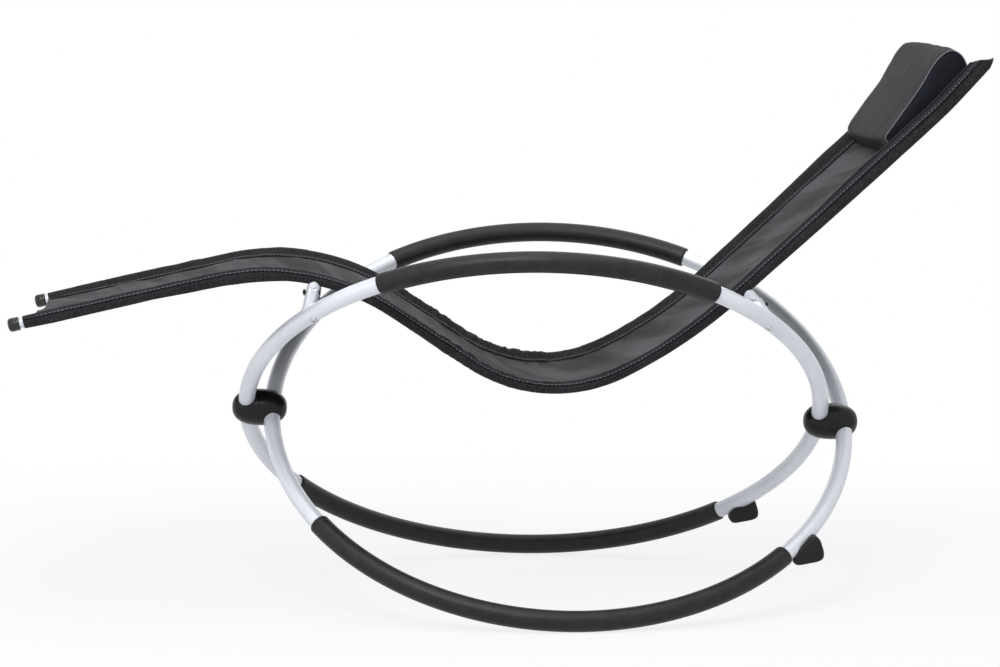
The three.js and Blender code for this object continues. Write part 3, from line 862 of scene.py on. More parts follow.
def rings(path: Array, first: Array, second: Array, radii: Array | float, sides: int) -> Array:
    """Rings round the points of a path.

    Args:
        path: The path's points.
        first: The direction in which each ring starts.
        second: The direction that it turns toward.
        radii: The radius at each point.
        sides: How many points a ring has.

    Returns:
        The rings: station, point, part.
    """
    turn = np.linspace(0, 2 * math.pi, sides, endpoint=False)[None, :, None]
    first, second = (np.broadcast_to(way, path.shape)[:, None] for way in (first, second))
    return path[:, None] + (np.cos(turn) * first + np.sin(turn) * second) * np.broadcast_to(
        radii, len(path))[:, None, None]


def sections(path: Array, normal: Array, radii: Array | float, sides: int) -> Array:
    """Rings of a round section, with so many sides, along a path in the plane square to a normal."""
    normal = unit(normal)
    return rings(path, unit(np.cross(unit(np.gradient(path, axis=0)), normal)), normal, radii, sides)


def turned(profile: Sequence[tuple[float, float]], origin: Array, axis: Array, sides: int = 36) -> Shape:
    """A closed shape turned about an axis.

    Args:
        profile: The place along the axis and the radius of each ring.
        origin: Where the axis starts.
        axis: Its direction.
        sides: How many points a ring has.

    Returns:
        The shape.
    """
    axis = unit(axis)
    first = unit(np.cross(axis, ACROSS if abs(axis[1]) < 0.9 else ALONG))
    places, radii = np.array(profile, float).T
    path = origin + axis * places[:, None]
    return Shape().grid(rings(path, first, np.cross(axis, first), radii, sides), closed=True, ends=True)


def block(centre: Array, axes: Sequence[Array], halves: Sequence[float]) -> Shape:
    """A block with its own axes.

    Args:
        centre: Its centre.
        axes: Its three directions.
        halves: Its half sizes along them.

    Returns:
        The shape.
    """
    x, y, z = (axis * half for axis, half in zip(axes, halves))
    corners = ((-1, -1), (1, -1), (1, 1), (-1, 1))
    rows = np.array([[centre + s * z + a * x + b * y for a, b in corners] for s in (-1, 1)])
    return Shape().grid(rows, closed=True, ends=True)


def bend(start: Array, corner: Array, stop: Array, count: int) -> list[Array]:
    """Points of a soft bend between two points, drawn toward a corner."""
    return [(1 - t) ** 2 * start + 2 * t * (1 - t) * corner + t * t * stop for t in np.linspace(0, 1, count)]


def rounded(profile: Sequence[tuple[float, float]], radius: float, count: int) -> list[Array]:
    """A profile with its inner corners rounded.

    Args:
        profile: The profile's points.
        radius: How far from a corner the rounding starts, at most.
        count: How many points a corner gets.

    Returns:
        The rounded profile.
    """
    points = [np.array(p, float) for p in profile]
    out = [points[0]]
    for before, corner, after in zip(points, points[1:], points[2:]):
        a, b = before - corner, after - corner
        reach = min(radius, 0.48 * float(np.linalg.norm(a)), 0.48 * float(np.linalg.norm(b)))
        out.extend(bend(corner + unit(a) * reach, corner, corner + unit(b) * reach, count))
    return [*out, points[-1]]


def round_loop(corners: Sequence[tuple[float, float, float]], share: float, count: int) -> Array:
    """A closed outline with rounded corners.

    Args:
        corners: Each corner's place, and how far from it the rounding starts.
        share: The most of an edge that one rounding takes.
        count: How many points a corner gets.

    Returns:
        The outline's points.
    """
    closed = [corners[-1], *corners, corners[0]]
    out: list[Array] = []
    for before, corner, after in zip(closed, closed[1:], closed[2:]):
        middle = np.array(corner[:2])
        ways = [np.array(near[:2]) - middle for near in (before, after)]
        start, stop = (middle + unit(w) * min(corner[2], share * float(np.linalg.norm(w))) for w in ways)
        out.extend(bend(start, middle, stop, count))
    return np.array(out)


def in_scene(name: str, data: bpy.types.ID) -> bpy.types.Object:
    """Puts a mesh, lamp or camera in the scene.

    Args:
        name: The object's name.
        data: What it shows.

    Returns:
        The object.
    """
    thing = bpy.data.objects.new(name, data)
    bpy.context.scene.collection.objects.link(thing)
    return thing


class Maker:
    """Turns shapes into dressed pieces that ride on the frame."""

    @staticmethod
    def piece(name: str, shape: Shape | bpy.types.Mesh, finishes: Sequence[Finish], body: str, slot: str,
              nodes: Sequence[str] = (), sharp: float = 35.0, level: bool = True) -> bpy.types.Object:
        """Makes a piece and sets it riding.

        Args:
            name: The piece's name.
            shape: Its shape, in the level chair.
            finishes: Its materials in order.
            body: The body that it rides on.
            slot: A material slot's name; not used.
            nodes: The CAD nodes that it stands for.
            sharp: The angle above which an edge stays sharp.
            level: Whether the shape is in the level chair, and still has to be leaned back.

        Returns:
            The piece.
        """
        mesh = shape.mesh(name) if isinstance(shape, Shape) else shape
        if level:
            places = np.empty(len(mesh.vertices) * 3)
            mesh.vertices.foreach_get("co", places)
            mesh.vertices.foreach_set("co", LEAN.place(places.reshape(-1, 3)).ravel())
        for finish in finishes:
            mesh.materials.append(finish.material())
        Maker.tidy(mesh, sharp)
        thing = in_scene(name, mesh)
        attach(thing, body)
        if nodes:
            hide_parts(*nodes)
        log.info("%s: %d faces on %s", name, len(mesh.polygons), body)
        return thing

    @staticmethod
    def tidy(mesh: bpy.types.Mesh, sharp: float) -> None:
        """Joins doubled points, turns the faces outward and shades them smooth.

        Args:
            mesh: The mesh.
            sharp: The angle above which an edge stays sharp.
        """
        Maker.outward(mesh, 1e-6, True)
        mesh.polygons.foreach_set("use_smooth", [True] * len(mesh.polygons))
        mesh.set_sharp_from_angle(angle=math.radians(sharp))
        mesh.update()

    @staticmethod
    def carved(shape: Shape, cutters: Sequence[Shape], within: Shape | None = None) -> bpy.types.Mesh:
        """Cuts shapes out of a shape.

        Args:
            shape: The shape to start from.
            cutters: The shapes to cut out.
            within: The shape that it is trimmed to first.

        Returns:
            The carved mesh.
        """
        base = in_scene("carving", shape.mesh("carving"))
        helpers = []
        for operation, group in (("INTERSECT", [within] if within else []), ("DIFFERENCE", cutters)):
            for tool in group:
                helpers.append(in_scene("cutter", tool.mesh("cutter")))
                modifier = base.modifiers.new("cut", "BOOLEAN")
                modifier.operation = operation
                modifier.object = helpers[-1]
                modifier.solver = "EXACT"
        for thing in (base, *helpers):
            Maker.outward(thing.data, 1e-7)
        bpy.context.view_layer.update()
        graph = bpy.context.evaluated_depsgraph_get()
        mesh = bpy.data.meshes.new_from_object(base.evaluated_get(graph))
        for thing in (base, *helpers):
            old = thing.data
            bpy.data.objects.remove(thing)
            bpy.data.meshes.remove(old)
        return mesh

    @staticmethod
    def outward(mesh: bpy.types.Mesh, reach: float, clean: bool = False) -> None:
        """Joins doubled points and turns the faces outward.

        Args:
            mesh: The mesh.
            reach: How near to each other doubled points are.
            clean: Whether faces and edges without size are taken out too.
        """
        work = bmesh.new()
        work.from_mesh(mesh)
        bmesh.ops.remove_doubles(work, verts=work.verts, dist=reach)
        if clean:
            bmesh.ops.dissolve_degenerate(work, dist=reach, edges=work.edges)
        bmesh.ops.recalc_face_normals(work, faces=work.faces)
        work.to_mesh(mesh)
        work.free()


def tube(path: Array, normal: Array, radius: float, sides: int) -> Shape:
    """A plain round rod along a path in the plane square to a normal."""
    return Shape().grid(sections(path, normal, radius, sides), closed=True, ends=True)


# Hoops


@dataclass
class Hoop:
    """One oval hoop: an arm tube and a rocker tube with foam grips, struts, screws and knuckles."""

    arm: Side
    mean_radius: float = 0.42
    tube_radius: float = 0.0125
    tube_chamfer: float = 0.0004
    foam_radius: float = 0.0155
    strut_radius: float = 0.0095
    bead_radius: float = 0.0015
    fork_slot: float = 0.0043
    fork_seat: float = 0.0089
    pin_hole: float = 0.0033
    slot_depths: dict[tuple[Side, End], float] = field(
        default_factory=lambda: {(Side.RIGHT, End.REAR): 0.021})
    arm_foams: dict[Side, tuple[float, float]] = field(
        default_factory=lambda: {Side.LEFT: (56.6, 123.4), Side.RIGHT: (60.7, 126.2)})
    rocker_foams: dict[Side, tuple[float, float]] = field(
        default_factory=lambda: {Side.LEFT: (214.7, 318.0), Side.RIGHT: (213.7, 316.5)})
    strut_angles: dict[Side, tuple[float, float]] = field(
        default_factory=lambda: {Side.LEFT: (142.1, 42.0), Side.RIGHT: (151.3, 51.5)})
    joint_drop: float = 3.2
    pins: dict[End, tuple[float, float]] = field(
        default_factory=lambda: {End.FRONT: (-0.35894, 0.19547), End.REAR: (0.29268, 0.19547)})
    block_half_length: float = 0.0418
    block_radius: float = 0.028
    block_roundness: float = 2.4
    block_gap: float = 0.00016
    block_hollow: float = 0.0045
    bore_gap: float = 0.0004
    crossing: float = 0.43894
    collar_radius: float = 0.0007
    gusset_ahead: float = 0.017
    screw_ahead: dict[End, float] = field(default_factory=lambda: {End.FRONT: 0.009, End.REAR: 0.0})
    stop_behind: float = 4.0
    stop_width: float = 0.034
    stop_gap: float = 0.0003

    def __post_init__(self) -> None:
        """Works out the hoop's oval and the names on it."""
        self.oval = Oval(self.arm)
        self.body = f"{self.arm.word}_arm_hoop"
        self.near = self.arm.word
        self.far = self.arm.other.word
        self.stop_angle = self.rocker_foams[self.arm.other][1] + self.stop_behind

    def build(self) -> None:
        """Builds all that this hoop carries."""
        self.tubes()
        self.grips()
        for end in End:
            self.strut(end)
            self.screw(end)
            self.knuckle(end)
        self.stop()

    def _ended(self, start: float, stop: float, ends: Sequence[tuple[float, float]], radius: float,
               sides: int) -> Shape:
        """A tube over part of the hoop with shaped ends.

        Args:
            start: The first angle.
            stop: The last angle.
            ends: How far in each end ring is, and its radius, from the end inward.
            radius: The radius between the ends.
            sides: How many sides it has.

        Returns:
            The shape.
        """
        per_metre = math.degrees(1 / self.mean_radius)
        clear, step = 1.2, 1.5
        first = [(start + offset * per_metre, r) for offset, r in ends]
        last = [(stop - offset * per_metre, r) for offset, r in reversed(ends)]
        inner = np.arange(first[-1][0] + clear, last[0][0] - clear / 2, step)
        rows = first + [(float(a), radius) for a in inner] + last
        angles = np.array([a for a, _ in rows])
        path = self.oval.point(angles)
        turn = np.radians(angles)
        wide, lean = self.oval.half_width * np.cos(turn), math.radians(self.oval.lean)
        ways = np.stack([-self.oval.half_length * np.sin(turn), self.arm.value * wide * math.sin(lean),
                         wide * math.cos(lean)], axis=-1)
        normal = self.oval.normal()
        out = unit(np.cross(unit(ways), normal))
        return Shape().grid(rings(path, out, normal, [r for _, r in rows], sides), closed=True, ends=True)

    def tubes(self) -> None:
        """Builds the arm tube and the rocker tube, chamfered where they join."""
        front, rear = self.strut_angles[self.arm]
        front, rear = front + self.joint_drop, rear - self.joint_drop
        chamfer = self.tube_chamfer
        edge = [(chamfer / 4, self.tube_radius - chamfer), (chamfer, self.tube_radius)]
        for name, start, stop in (
            (f"{self.near}_arm_tube", rear, front),
            (f"{self.far}_rocker_tube", front, rear + 360),
        ):
            shape = self._ended(start, stop, edge, self.tube_radius, 32)
            Maker.piece(f"{name}_bent", shape, [PAINT], self.body, "painted_tube", [name])

    def grips(self) -> None:
        """Builds the foam grips, with soft rounded ends."""
        lip = [(0.0, 0.0127), (0.0001, 0.0136), (0.0005, 0.0145), (0.0013, 0.0151), (0.0026, 0.01542),
               (0.0045, 0.0155)]
        for name, (start, stop) in (
            (f"{self.near}_arm_foam", self.arm_foams[self.arm]),
            (f"{self.far}_rocker_foam", self.rocker_foams[self.arm.other]),
        ):
            shape = self._ended(start, stop, lip, self.foam_radius, 36)
            Maker.piece(f"{name}_grip", shape, [FOAM], self.body, "grip_foam", [name])

    def _strut_line(self, end: End) -> tuple[Array, Array]:
        """The foot of a strut on the arm tube, and its pin.

        Args:
            end: Which strut.

        Returns:
            The two points in the level chair.
        """
        angle = self.strut_angles[self.arm][0 if end is End.FRONT else 1]
        along, height = self.pins[end]
        return self.oval.point(angle), np.array([along, self.arm.value * RAIL.spread / 2, height])

    def strut(self, end: End) -> None:
        """Builds a strut: a round rod, forked at its pin, with a weld bead and a gusset if it is a rear one.

        Args:
            end: Which strut.
        """
        foot, pin = self._strut_line(end)
        axis = unit(foot - pin)
        reach = float(np.linalg.norm(foot - pin))
        r = self.strut_radius
        brow_gap, sunk, clear, wide, past = 0.0002, 0.002, 0.02, 0.03, 0.2
        brow_radius = r + brow_gap
        rod = turned([(-2.4 * r, r), (reach / 2, r), (reach - sunk, r)], pin, axis)
        level = unit(np.array([0.0, axis[1], axis[2]]))
        cross = np.cross(ALONG, level)
        brow = [pin - (level * math.cos(t) - cross * math.sin(t)) * brow_radius
                for t in np.radians(np.linspace(-90, 90, 19))]
        brow += [pin + level * past + cross * brow_radius, pin + level * past - cross * brow_radius]
        rows = np.array([[p + ALONG * x for p in brow] for x in (-wide, wide)])
        eye = Shape().grid(rows, closed=True, ends=True)
        depth, below = self.slot_depths.get((self.arm, end), 0.0), 0.015
        cutters = [block(pin + level * (depth - below) / 2, (ALONG, level, cross),
                         (self.fork_slot / 2, (depth + below) / 2, clear))]
        for half, radius in ((self.fork_slot / 2, self.fork_seat), (clear, self.pin_hole)):
            cutters.append(turned([(-half, radius), (half, radius)], pin, ALONG))
        name = f"{self.near}_{end.word}_strut"
        mesh = Maker.carved(rod, cutters, within=eye)
        Maker.piece(f"{name}_rod", mesh, [PAINT], self.body, "painted_tube", [name])
        if end is End.REAR:
            arc = self.oval.run(20, 70, 0.5)
            ahead, slimmer = 0.001, 0.0004
            start, thin = pin + ALONG * ahead, r - slimmer
            way = arc[np.argmin(np.abs(arc[:, 0] - pin[0] - self.gusset_ahead))] - start
            gusset = turned([(-clear, thin), (float(np.linalg.norm(way)), thin)], start, way, 32)
            mesh = Maker.carved(gusset, cutters, within=eye)
            Maker.piece(f"{name}_gusset", mesh, [PAINT], self.body, "painted_tube")
        self._bead(f"{name}_weld", foot, pin, axis)

    def _bead(self, name: str, foot: Array, pin: Array, axis: Array) -> None:
        """Builds the lumpy weld bead round a strut's foot.

        Args:
            name: The piece's name.
            foot: The strut's foot on the arm's centre line.
            pin: The strut's pin.
            axis: The direction from the pin to the foot.
        """
        first = unit(np.cross(axis, ALONG))
        second = np.cross(axis, first)
        arc = self.oval.run(0, 180, 0.5)
        places, count, lumps = [], 64, 14
        for turn in np.linspace(0, 2 * math.pi, count, endpoint=False):
            start = pin + (first * math.cos(turn) + second * math.sin(turn)) * self.strut_radius
            low, high = 0.0, float(np.linalg.norm(foot - pin))
            for _ in range(18):
                middle = (low + high) / 2
                near = np.linalg.norm(arc - (start + axis * middle), axis=1).min()
                low, high = (middle, high) if near > self.tube_radius else (low, middle)
            places.append(start + axis * low)
        ring = np.array(places)
        ring = np.concatenate([ring, ring[:2]])
        ways = unit(np.roll(ring, -1, axis=0) - np.roll(ring, 1, axis=0))
        ways[0], ways[-1] = ways[count], ways[1]
        outward = unit(ring - (pin + axis * ((ring - pin) @ axis)[:, None]))
        swell = 1 + 0.22 * np.sin(np.arange(len(ring)) * 2 * math.pi * lumps / count)
        rows = rings(ring, outward, np.cross(ways, outward), self.bead_radius * swell, 10)[:count + 1]
        Maker.piece(name, Shape().grid(rows, closed=True), [PAINT], self.body, "painted_tube", sharp=70)

    def screw(self, end: End) -> None:
        """Builds the domed screw under a strut's foot, with a hexagon socket.

        Args:
            end: Which strut it is under.
        """
        foot, _ = self._strut_line(end)
        arc = self.oval.run(20, 160, 0.5)
        foot = arc[np.argmin(np.abs(arc[:, 0] - foot[0] - self.screw_ahead[end]))]
        axis = self.oval.normal()
        gap, sunk, socket_floor, past = 0.0001, 0.003, 0.001, 0.006
        seat = self.tube_radius + gap
        shank, flange, dome, high, hexagon, half = 0.0025, 0.0056, 0.005, 0.0024, 0.0019, 0.0004
        profile = [(seat - sunk, shank), (seat - half, shank), (seat - half, flange), (seat + half, flange)]
        profile += [(seat + half + high * math.sin(t), dome * math.cos(t))
                    for t in np.radians((0, 18, 36, 54, 72, 86))]
        head = turned(profile, foot, axis, 32)
        socket = turned([(seat + socket_floor, hexagon), (seat + past, hexagon)], foot, axis, 6)
        name = f"{self.near}_{end.word}_screw"
        Maker.piece(f"{name}_head", Maker.carved(head, [socket]), [ZINC], self.body, "zinc_steel", [name])

    def knuckle(self, end: End) -> None:
        """Builds this hoop's half of a pivot knuckle, bored for its tube.

        Args:
            end: Which knuckle.
        """
        centre = ALONG * end.value * self.crossing
        power = 2 / self.block_roundness
        rim_drop, seam, shortest, past = 0.0003, 0.0002, 0.001, 14
        rim, face = self.block_radius - rim_drop, self.block_gap / 2
        profile: list[tuple[float, float]] = [(face, self.block_hollow), (face, rim)]
        profile += [(face + seam * (1 - math.cos(t)), rim + seam * math.sin(t))
                    for t in np.radians((30, 60, 90))]
        for a in np.linspace(88, 2, 30):
            t = math.radians(a)
            place = self.block_half_length * math.cos(t) ** power
            if place > shortest:
                profile.append((place, self.block_radius * math.sin(t) ** power))
        mid = 180.0 if end is End.FRONT else 360.0
        path = self.oval.run(mid - past, mid + past, 1.0)
        bore = tube(path, self.oval.normal(), self.tube_radius + self.bore_gap, 40)
        mesh = Maker.carved(turned(profile, centre, ALONG * self.arm.value, 64), [bore])
        name = f"{self.near}_{end.word}_knuckle"
        Maker.piece(f"{name}_shell", mesh, [PLASTIC], self.body, "gloss_black", [name], sharp=40)
        self._collars(f"{name}_collar", mid, centre)

    def _collars(self, name: str, mid: float, centre: Array) -> None:
        """Builds the thin lips where the tube enters a knuckle.

        Args:
            name: The piece's name.
            mid: The angle of the pivot on this hoop.
            centre: The knuckle's centre.
        """
        shape = Shape()
        for way in (-1, 1):
            turns = np.linspace(0, 2 * math.pi, 48, endpoint=False)
            ring = np.array([self._entry(mid, way, turn, centre) for turn in turns])
            lift = unit(self.oval.point(mid + way * 8.0) - self.oval.point(mid))
            lip = rings(ring, unit(ring - ring.mean(axis=0)), lift, self.collar_radius, 8)
            shape.grid(np.concatenate([lip, lip[:1]]), closed=True)
        Maker.piece(name, shape, [PLASTIC], self.body, "gloss_black", sharp=80)

    def _entry(self, mid: float, way: int, turn: float, centre: Array) -> Array:
        """Where one line of the tube's surface leaves the knuckle.

        Args:
            mid: The angle of the pivot on this hoop.
            way: Toward which side of the pivot the tube is followed.
            turn: The line's place round the tube.
            centre: The knuckle's centre.

        Returns:
            The point.
        """
        normal = self.oval.normal()
        low, high, step, lift = 0.0, 12.0, 0.2, 0.0003
        spot = centre
        for _ in range(16):
            middle = (low + high) / 2
            angle = mid + way * middle
            here = self.oval.point(angle)
            ahead = unit(self.oval.point(angle + step) - self.oval.point(angle - step))
            side = np.cross(ahead, normal)
            spot = here + (side * math.cos(turn) + normal * math.sin(turn)) * (self.tube_radius + lift)
            place = abs(spot[0] - centre[0]) / self.block_half_length
            reach = math.hypot(spot[1], spot[2]) / self.block_radius
            inside = place ** self.block_roundness + reach ** self.block_roundness < 1
            low, high = (middle, high) if inside else (low, middle)
        return spot

    def stop(self) -> None:
        """Builds the rear stop, a wedge-shaped foot moulded round the rocker tube."""
        centre = self.oval.point(self.stop_angle)
        outline = self._stop_outline()
        half, past = self.stop_width / 2, 14
        layers = [(-half, 0.80), (-half + 0.0008, 0.90), (-half + 0.0025, 0.97), (-half + 0.005, 1.0)]
        layers += [(-place, size) for place, size in reversed(layers)]
        middle = outline.mean(axis=0)
        rows = []
        for place, size in layers:
            ring = middle + (outline - middle) * size
            rows.append(centre + np.stack([ring[:, 0], np.full(len(ring), place), ring[:, 1]], axis=-1))
        wedge = Shape().grid(np.array(rows), closed=True, ends=True)
        path = self.oval.run(self.stop_angle - past, self.stop_angle + past, 1.0)
        mesh = Maker.carved(wedge, [tube(path, self.oval.normal(), self.tube_radius + self.stop_gap, 40)])
        name = f"{self.far}_rear_stop"
        Maker.piece(f"{name}_foot", mesh, [STOP_RUBBER], self.body, "gloss_black", [name], sharp=38)

    @staticmethod
    def _stop_outline() -> Array:
        """The stop's side outline about the tube's centre, with rounded corners.

        Returns:
            The outline's points.
        """
        front, rear, top, foot, soft = 0.007, 0.040, 0.0145, 0.0305, 0.005
        corners = [(0.020, top - 0.001), (0.0265, top), (0.0335, 0.009), (rear, -0.010),
                   (rear - 0.0006, -0.0195), (0.031, -0.0242), (0.001, -foot), (-front + 0.001, -0.0265),
                   (-front, -0.014)]
        return round_loop([(*corner, soft) for corner in corners], 0.46, 5)


# Seat rails


@dataclass
class SeatRail:
    """One bent seat rail with its tongues, stubs, pins and end plugs."""

    side: Side
    radius: float = 0.008
    tongue: float = 0.004
    tongue_half: float = 0.0086
    pin_radius: float = 0.003
    cap_radius: float = 0.0102
    cap_length: float = 0.017
    feet: dict[Side, float] = field(default_factory=lambda: {Side.LEFT: 0.0035, Side.RIGHT: -0.0023})
    head_short: float = 0.016
    stub_radius: float = 0.0089
    stub_seat: float = 0.0099
    stub_above: float = 0.0076
    dome: tuple[float, float] = (0.0034, 0.0052)
    rivet: tuple[float, float] = (0.0012, 0.0042)

    def __post_init__(self) -> None:
        """Works out where the rail stands and what it rides on."""
        self.body = f"{self.side.word}_rail"
        self.across = self.side.value * RAIL.spread / 2
        self.foot = self.feet[self.side]
        self.head = RAIL.length() - self.head_short

    def build(self) -> None:
        """Builds all that this rail carries."""
        self.rail()
        self.plugs()
        for end in End:
            self.pin(end)
            self.stub(end)

    def _path(self, start: float, stop: float, step: float = 0.008) -> Array:
        """Points of the rail's centre line in the level chair, about a step apart."""
        lengths = np.linspace(start, stop, max(2, round((stop - start) / step)) + 1)
        return RAIL.level(lengths, self.across, np.zeros(len(lengths)))

    def _pin_place(self, end: End) -> Array:
        """The middle of a hinge pin in the level chair."""
        along, height = Hoop(self.side).pins[end]
        return np.array([along, self.across, height])

    def rail(self) -> None:
        """Builds the bent tube with an eyed tongue at each pin."""
        gap = 0.0002
        path = self._path(self.foot + gap, self.head - gap)
        shape = tube(path, ACROSS, self.radius, 24)
        for end in End:
            pin = self._pin_place(end)
            self._tongue(shape, pin, path[np.argmin(np.linalg.norm(path - pin, axis=1))])
        name = f"{self.side.word}_seat_rail"
        Maker.piece(f"{name}_bent", shape, [PAINT], self.body, "painted_tube", [name])

    def stub(self, end: End) -> None:
        """Builds the stub from the rail to a strut's eye, hollowed so that the eye can turn under it.

        Args:
            end: Which strut it meets.
        """
        pin, clear, beyond = self._pin_place(end), 0.03, 0.006
        count = 1600
        path = RAIL.level(np.linspace(0.0, RAIL.length(), count), self.across, np.zeros(count))
        root = path[np.argmin(np.linalg.norm(path - pin, axis=1))]
        past = float(np.linalg.norm(pin - root)) + beyond
        rod = turned([(0.0, self.stub_radius), (past, self.stub_radius)], root, pin - root, 32)
        seat = turned([(-clear, self.stub_seat), (clear, self.stub_seat)], pin, ALONG, 48)
        below = block(pin + np.array([0.0, 0.0, self.stub_above - clear]), np.eye(3), [clear] * 3)
        mesh = Maker.carved(rod, [seat, below])
        Maker.piece(f"{self.side.word}_{end.word}_stub", mesh, [PAINT], self.body, "painted_tube")

    def _tongue(self, shape: Shape, pin: Array, near: Array) -> None:
        """Adds the flat tongue that a strut's fork holds, with an eye for the pin.

        Args:
            shape: The shape that it is added to.
            pin: The pin's centre.
            near: The rail's nearest centre point.
        """
        half = self.tongue / 2
        rise = near[2] - pin[2]
        turns = np.radians(np.linspace(180, 360, 19))
        outer = [(math.cos(t) * self.tongue_half, math.sin(t) * self.tongue_half) for t in turns]
        neck = self.tongue_half + 0.001
        outer += [(self.tongue_half, neck), (0.8 * self.tongue_half, rise), (-0.8 * self.tongue_half, rise),
                  (-self.tongue_half, neck)]
        hole_turns = np.concatenate([turns, np.radians([30, 60, 120, 150])])
        hole = Hoop.pin_hole
        inner = [(math.cos(t) * hole, math.sin(t) * hole) for t in hole_turns]
        bevel = 0.0004
        rows = []
        for place, loop, grow in ((-half, inner, 0.0), (-half, outer, -bevel), (-half + bevel, outer, 0.0),
                                  (half - bevel, outer, 0.0), (half, outer, -bevel), (half, inner, 0.0)):
            ring = np.array(loop) * (1 + grow / self.tongue_half)
            lean = np.clip((ring[:, 1] - neck) / (rise - neck), 0, 1) * (near[0] - pin[0])
            rows.append(np.stack([pin[0] + place + lean, pin[1] + ring[:, 0], pin[2] + ring[:, 1]], axis=-1))
        rows.append(rows[0])
        shape.grid(np.array(rows), closed=True)

    def plugs(self) -> None:
        """Builds the black plugs in both ends of the rail."""
        r, long, soft, step = self.cap_radius, self.cap_length, 0.0009, 0.01
        foot = [(-long, 0.0004), (-long, r * 0.55), (-long + 0.0012, r * 0.86), (-long + 0.0035, r * 0.985),
                (-long + 0.006, r), (-0.0062, r), (-0.0054, r * 0.955), (-0.0046, r * 0.955), (-0.0038, r),
                (-0.0012, r * 0.985), (-0.0004, r * 0.9), (-0.0004, 0.0066), (0.010, 0.0062), (0.010, 0.0004)]
        head = [(-0.003, 0.0004), (-0.003, 0.0062), (-0.0022, 0.0073), (-0.0004, 0.0074), (-0.0004, 0.0062),
                (0.010, 0.006), (0.010, 0.0004)]
        for which, profile, at, way in (("foot", foot, self.foot, 1), ("head", head, self.head, -1)):
            spot = RAIL.level(np.array([at]), self.across, np.zeros(1))[0]
            ahead = RAIL.level(np.array([at + way * step]), self.across, np.zeros(1))[0]
            shape = turned(rounded(profile, soft, 3), spot, ahead - spot)
            name = f"{self.side.word}_{which}_cap"
            Maker.piece(f"{name}_plug", shape, [CAP_PLASTIC], self.body, "gloss_black", [name])

    def pin(self, end: End) -> None:
        """Builds a hinge pin with a domed head, and a low riveted end toward the chair's middle.

        Args:
            end: Which strut it holds.
        """
        name = f"{self.side.word}_{end.word}_hinge_pin"
        low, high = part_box(name)
        (dome_high, dome_radius), (rivet_high, rivet_radius), headroom = self.dome, self.rivet, 0.0035
        seat, r = (high.x - low.x) / 2 - headroom, self.pin_radius
        turns = np.radians((88, 70, 52, 35, 18, 0))
        dome = [(seat + dome_high * math.sin(t), dome_radius * math.cos(t)) for t in turns]
        rivet = [(-seat - rivet_high * math.sin(t), rivet_radius * math.cos(t)) for t in turns]
        profile = rivet + [(-seat, r), (seat, r)] + dome[::-1]
        shape = turned(profile, self._pin_place(end), -ALONG, 28)
        Maker.piece(f"{name}_domed", shape, [PLASTIC], self.body, "gloss_black", [name])


# Sling


